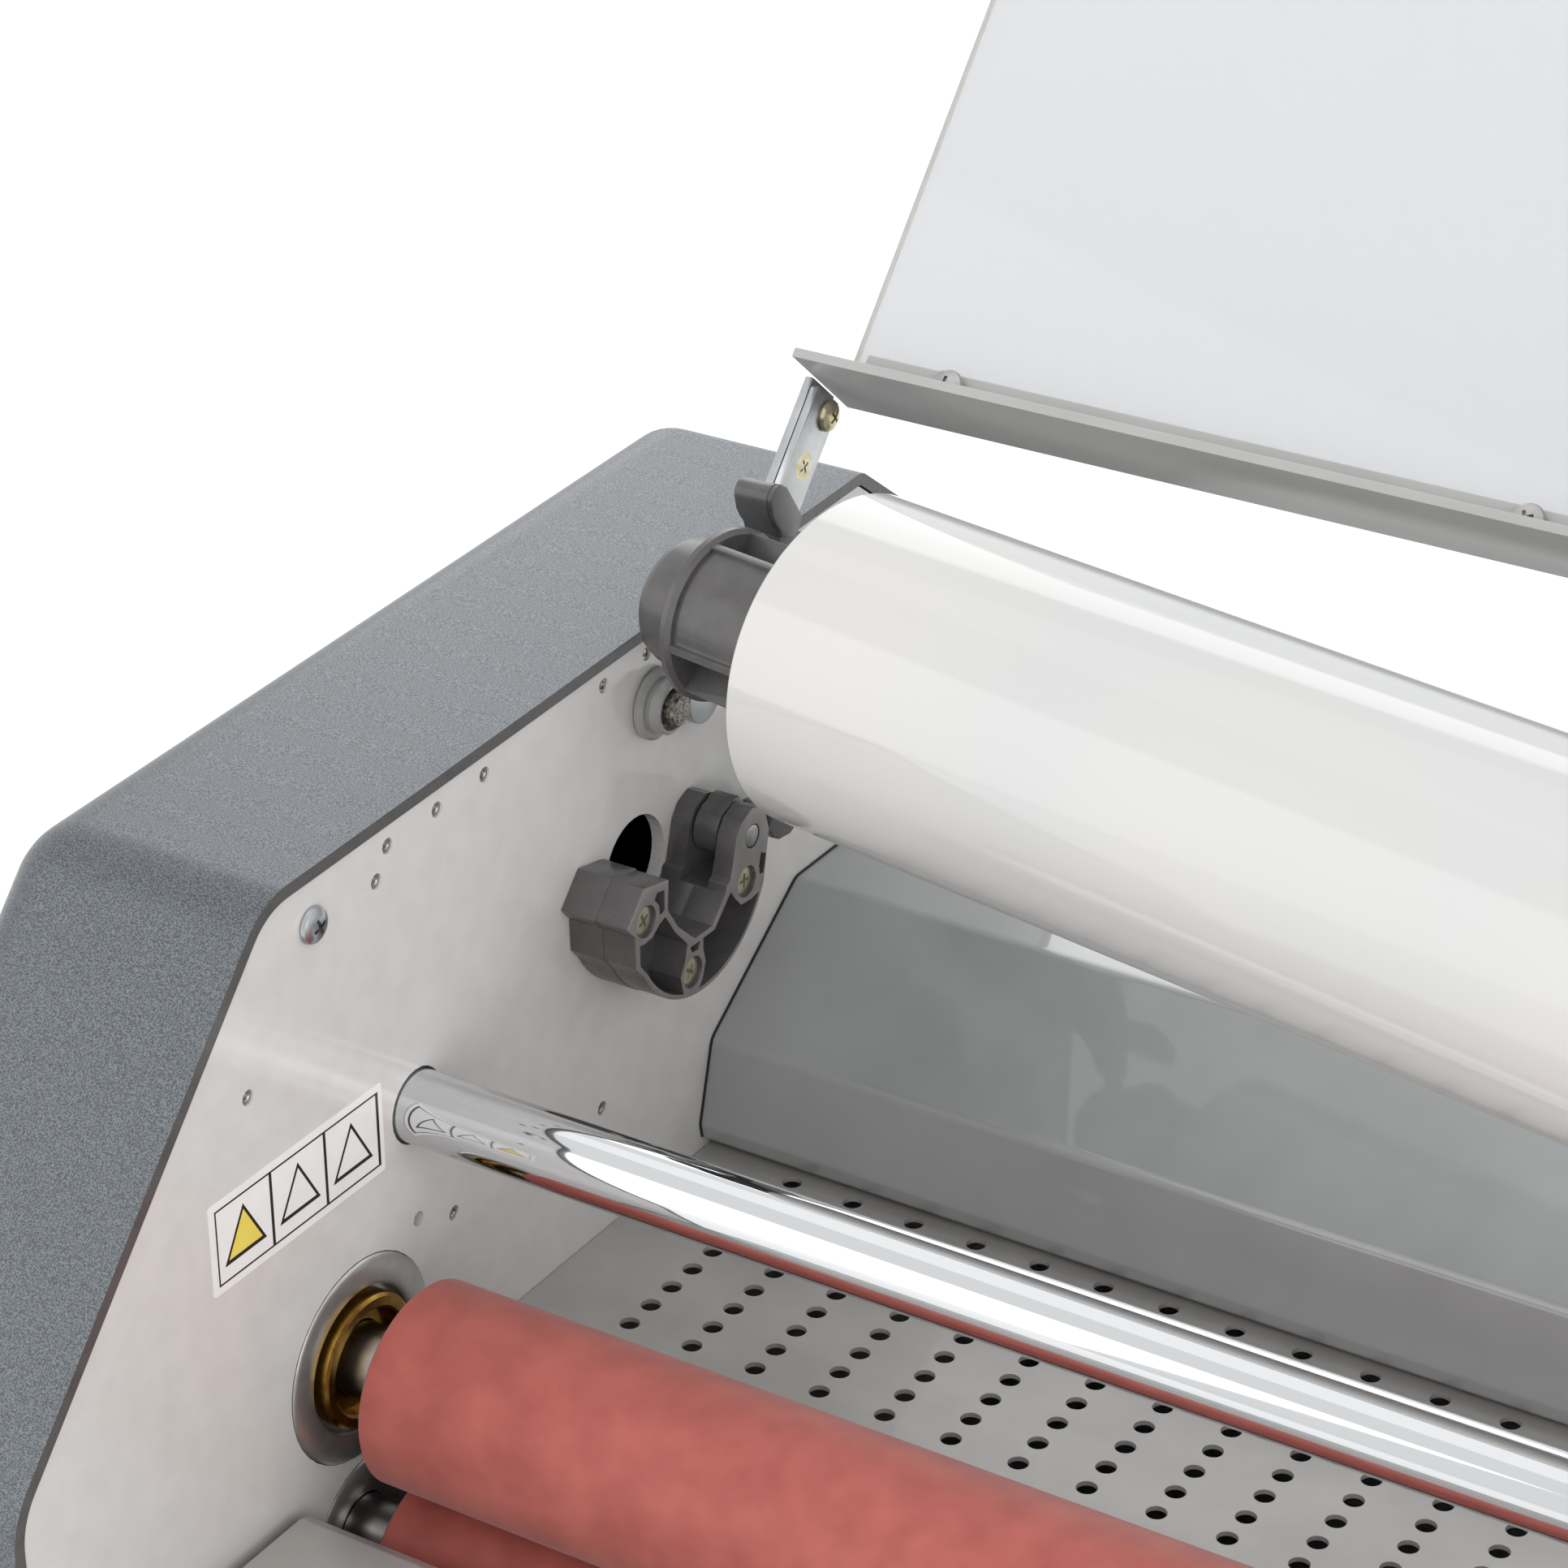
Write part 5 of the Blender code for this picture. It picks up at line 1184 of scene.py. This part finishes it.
grip_ends = (LEVER_BOX[1].x - LEVER_SLOT * MM, LEVER_BOX[1].x)
bar_ends = (LEVER_BOX[1].x - (LEVER_BAR + GRIP_PROUD) * MM, LEVER_BOX[1].x - GRIP_PROUD * MM)
bar = slab("lever_bar", arc(PIVOT, 12, 165, 375, 24) + about_pivot([(7, 52), (7, 92), (-7, 92), (-7, 52)]),
           *bar_ends)
fuse(fillet(bar, 0.6), slab("lever_pin", ring(PIVOT, 5, 40), PLATE + 0.5 * MM, bar_ends[0] + 1 * MM))
deliver(close_up(bar), STEEL, "pressure_handle", "turned_steel", "pressure_lever")
grip = slab("lever_grip", about_pivot([(-9, 76), (9, 76), (11, 84), (11, 104), (6, 110), (-6, 110), (-11, 104),
                                       (-11, 84)]), *grip_ends)
deliver(close_up(fillet(grip, 2.4, 4)), BLACK, "pressure_handle", "black_plastic")
print("lever grip stands", round((grip_ends[1] - grip_ends[0]) / MM), "mm wide")

# %% [markdown]
# The back is a folded zinc-plated sheet with pressed louvres that let the motor's heat out, held, like the
# two covers, by cross-headed screws.

# %% Louvres and cover screws
REAR_FACE = 185.4
for hand, side in (("left", -1), ("right", 1)):
    blades = []
    for k in range(8):
        y, z = REAR_FACE, -78 - 9 * k
        ends = sorted((side * 60 * MM, side * 130 * MM))
        blade = slab("louvre", [(y, z + 2.4), (y + 1.0, z + 1.6), (y + 2.2, z - 0.6), (y + 2.4, z - 2.2),
                                (y + 1.9, z - 2.4), (y, z - 2.4)], *ends)
        blades.append(close_up(fillet(blade, 0.3)))
    deliver(joined(blades, "rear_louvres_" + hand), ZINC, "machine", "zinc_plated_steel")
    for k, (x, z) in enumerate(((340, -45), (340, -160), (120, -45), (120, -160))):
        fix_screw(PAN, "rear_screw_%s_%d" % (hand, k), "machine", ZINC, "zinc_plated_steel",
                  (side * x * MM, *at(REAR_FACE, z)), (0, 1, 0), 0.9, 20 * k)
    for k, spot in enumerate(((-235, 10), (-150, 138), (190, 10), (150, -155), (-195, -155))):
        fix_screw(FLUSH, "cover_screw_%s_%d" % (hand, k), "machine", STEEL, "zinc_plated_steel",
                  (side * (COVER_FAR + 0.01 * MM), *at(*spot)), (side, 0, 0), 1.0, 25 * k)
print("louvres pressed")

# %% [markdown]
# A label on the left plate shows three framed signs. It is printed vinyl, a few tenths of a
# millimetre thick, with plain shapes only.

# %% Generic label
def on_label(u, v):
    """From label millimetres, across and up from its lower front corner."""
    return (-212.4 + u, 71.6 + v)


def label_piece(name, points, thick, material, slot, side, holes=(), base=0.02):
    xs = sorted(side * (PLATE - w * MM) for w in (base, base + thick))
    piece = slab(name, points, *xs)
    for hole in holes:
        cut(piece, slab("window", hole, xs[0] - 1 * MM, xs[1] + 1 * MM))
    return deliver(close_up(piece), material, "machine", slot)


def triangle(cu, cv, size):
    return [on_label(cu + size * math.cos(math.radians(a)), cv - size * 0.12 + size * math.sin(math.radians(a)))
            for a in (210, 330, 90)]


for hand, side in (("left", -1),):
    label_piece("label_" + hand, rounded([(*on_label(0, 0), 1), (*on_label(69.4, 0), 1), (*on_label(69.4, 26), 1),
                                          (*on_label(0, 26), 1)], 4), 0.15, PAPER, "laminating_film", side)
    windows = []
    for k in range(3):
        u = 2.2 + 21.67 * k
        windows.append([on_label(u + 0.5, 2.7), on_label(u + 21.17, 2.7), on_label(u + 21.17, 23.3),
                        on_label(u + 0.5, 23.3)])
    border = [on_label(2.2, 2.2), on_label(67.7, 2.2), on_label(67.7, 23.8), on_label(2.2, 23.8)]
    label_piece("label_frame_" + hand, border, 0.1, INK, "black_plastic", side, windows, 0.12)
    for k in range(3):
        mid = (2.2 + 21.67 * k + 10.8, 12.4)
        label_piece("label_sign_%d" % k, triangle(*mid, 9.4), 0.1, INK, "black_plastic", side,
                    [triangle(*mid, 7.6)], 0.12)
        fill = YELLOW if k == 0 else PAPER
        label_piece("label_fill_%d" % k, triangle(*mid, 7.6), 0.08, fill, "laminating_film", side, (), 0.12)
print("label made")

# %% [markdown]
# The floor is a wide pale sheet. It belongs to the studio and not to the machine.

# %% Studio floor
deselect()
bpy.ops.mesh.primitive_plane_add(size=30, location=(0, 0, 0))
floor = bpy.context.object
floor.name = "studio_floor"
FLOOR, tree, shader, coords = finish("paper_backdrop_matt", "#fbfbfb", 0.9)
speckle(tree, shader, coords, 400, "#fafafa", "#fcfcfc", 0.3, 0.7)
floor.data.materials.append(FLOOR)

# %% [markdown]
# Soft light comes from big panels: a faint one overhead, a strong one behind that glances off the painted
# tops, and two low ones in front that lift the shadows.

# %% Light and camera
def panel(name, where, aim, size, power, size_y=None):
    lamp = bpy.data.lights.new(name, "AREA")
    lamp.shape = "RECTANGLE"
    lamp.size, lamp.size_y = size, size_y or size
    lamp.energy = power
    holder = bpy.data.objects.new(name, lamp)
    bpy.context.scene.collection.objects.link(holder)
    holder.location = where
    holder.rotation_euler = (Vector(aim) - Vector(where)).to_track_quat("-Z", "Y").to_euler()
    return holder


world = bpy.data.worlds.new("studio")
bpy.context.scene.world = world
world.use_nodes = True
world.node_tree.nodes["Background"].inputs["Color"].default_value = (1, 1, 1, 1)
world.node_tree.nodes["Background"].inputs["Strength"].default_value = 0.98
panel("overhead", (-0.3, 0.3, 2.4), (0, 0, 0.2), 2.2, 4)
panel("behind", (-1.45, 2.0, 1.4), (-0.15, 0.1, 0.25), 1.7, 12)
panel("front_left", (-1.6, -1.5, 0.9), (-0.3, 0, 0.2), 1.8, 9)
panel("front_right", (1.7, -1.3, 1.0), (-0.2, 0, 0.25), 2.2, 18)

lens = bpy.data.cameras.new("camera")
lens.lens, lens.sensor_width = 103.95, 36
camera = bpy.data.objects.new("camera", lens)
bpy.context.scene.collection.objects.link(camera)
look = (Matrix.Rotation(math.radians(32.5), 4, "Z") @ Matrix.Rotation(math.radians(90 - 27.61), 4, "X")
        @ Matrix.Rotation(math.radians(-0.5), 4, "Z"))
camera.matrix_world = Matrix.Translation((0.2511, -0.8642, 0.8919)) @ look
bpy.context.scene.camera = camera
bpy.context.scene.view_settings.view_transform = "Standard"
print("camera set")

# %% [markdown]
# The last step throws away the screw and washer masters, and those of the dots, keys and collar.

# %% Throw away the masters
for master in (PAN, FLUSH, WASHER, DOT, KEY, COLLAR):
    bpy.data.objects.remove(master, do_unlink=True)
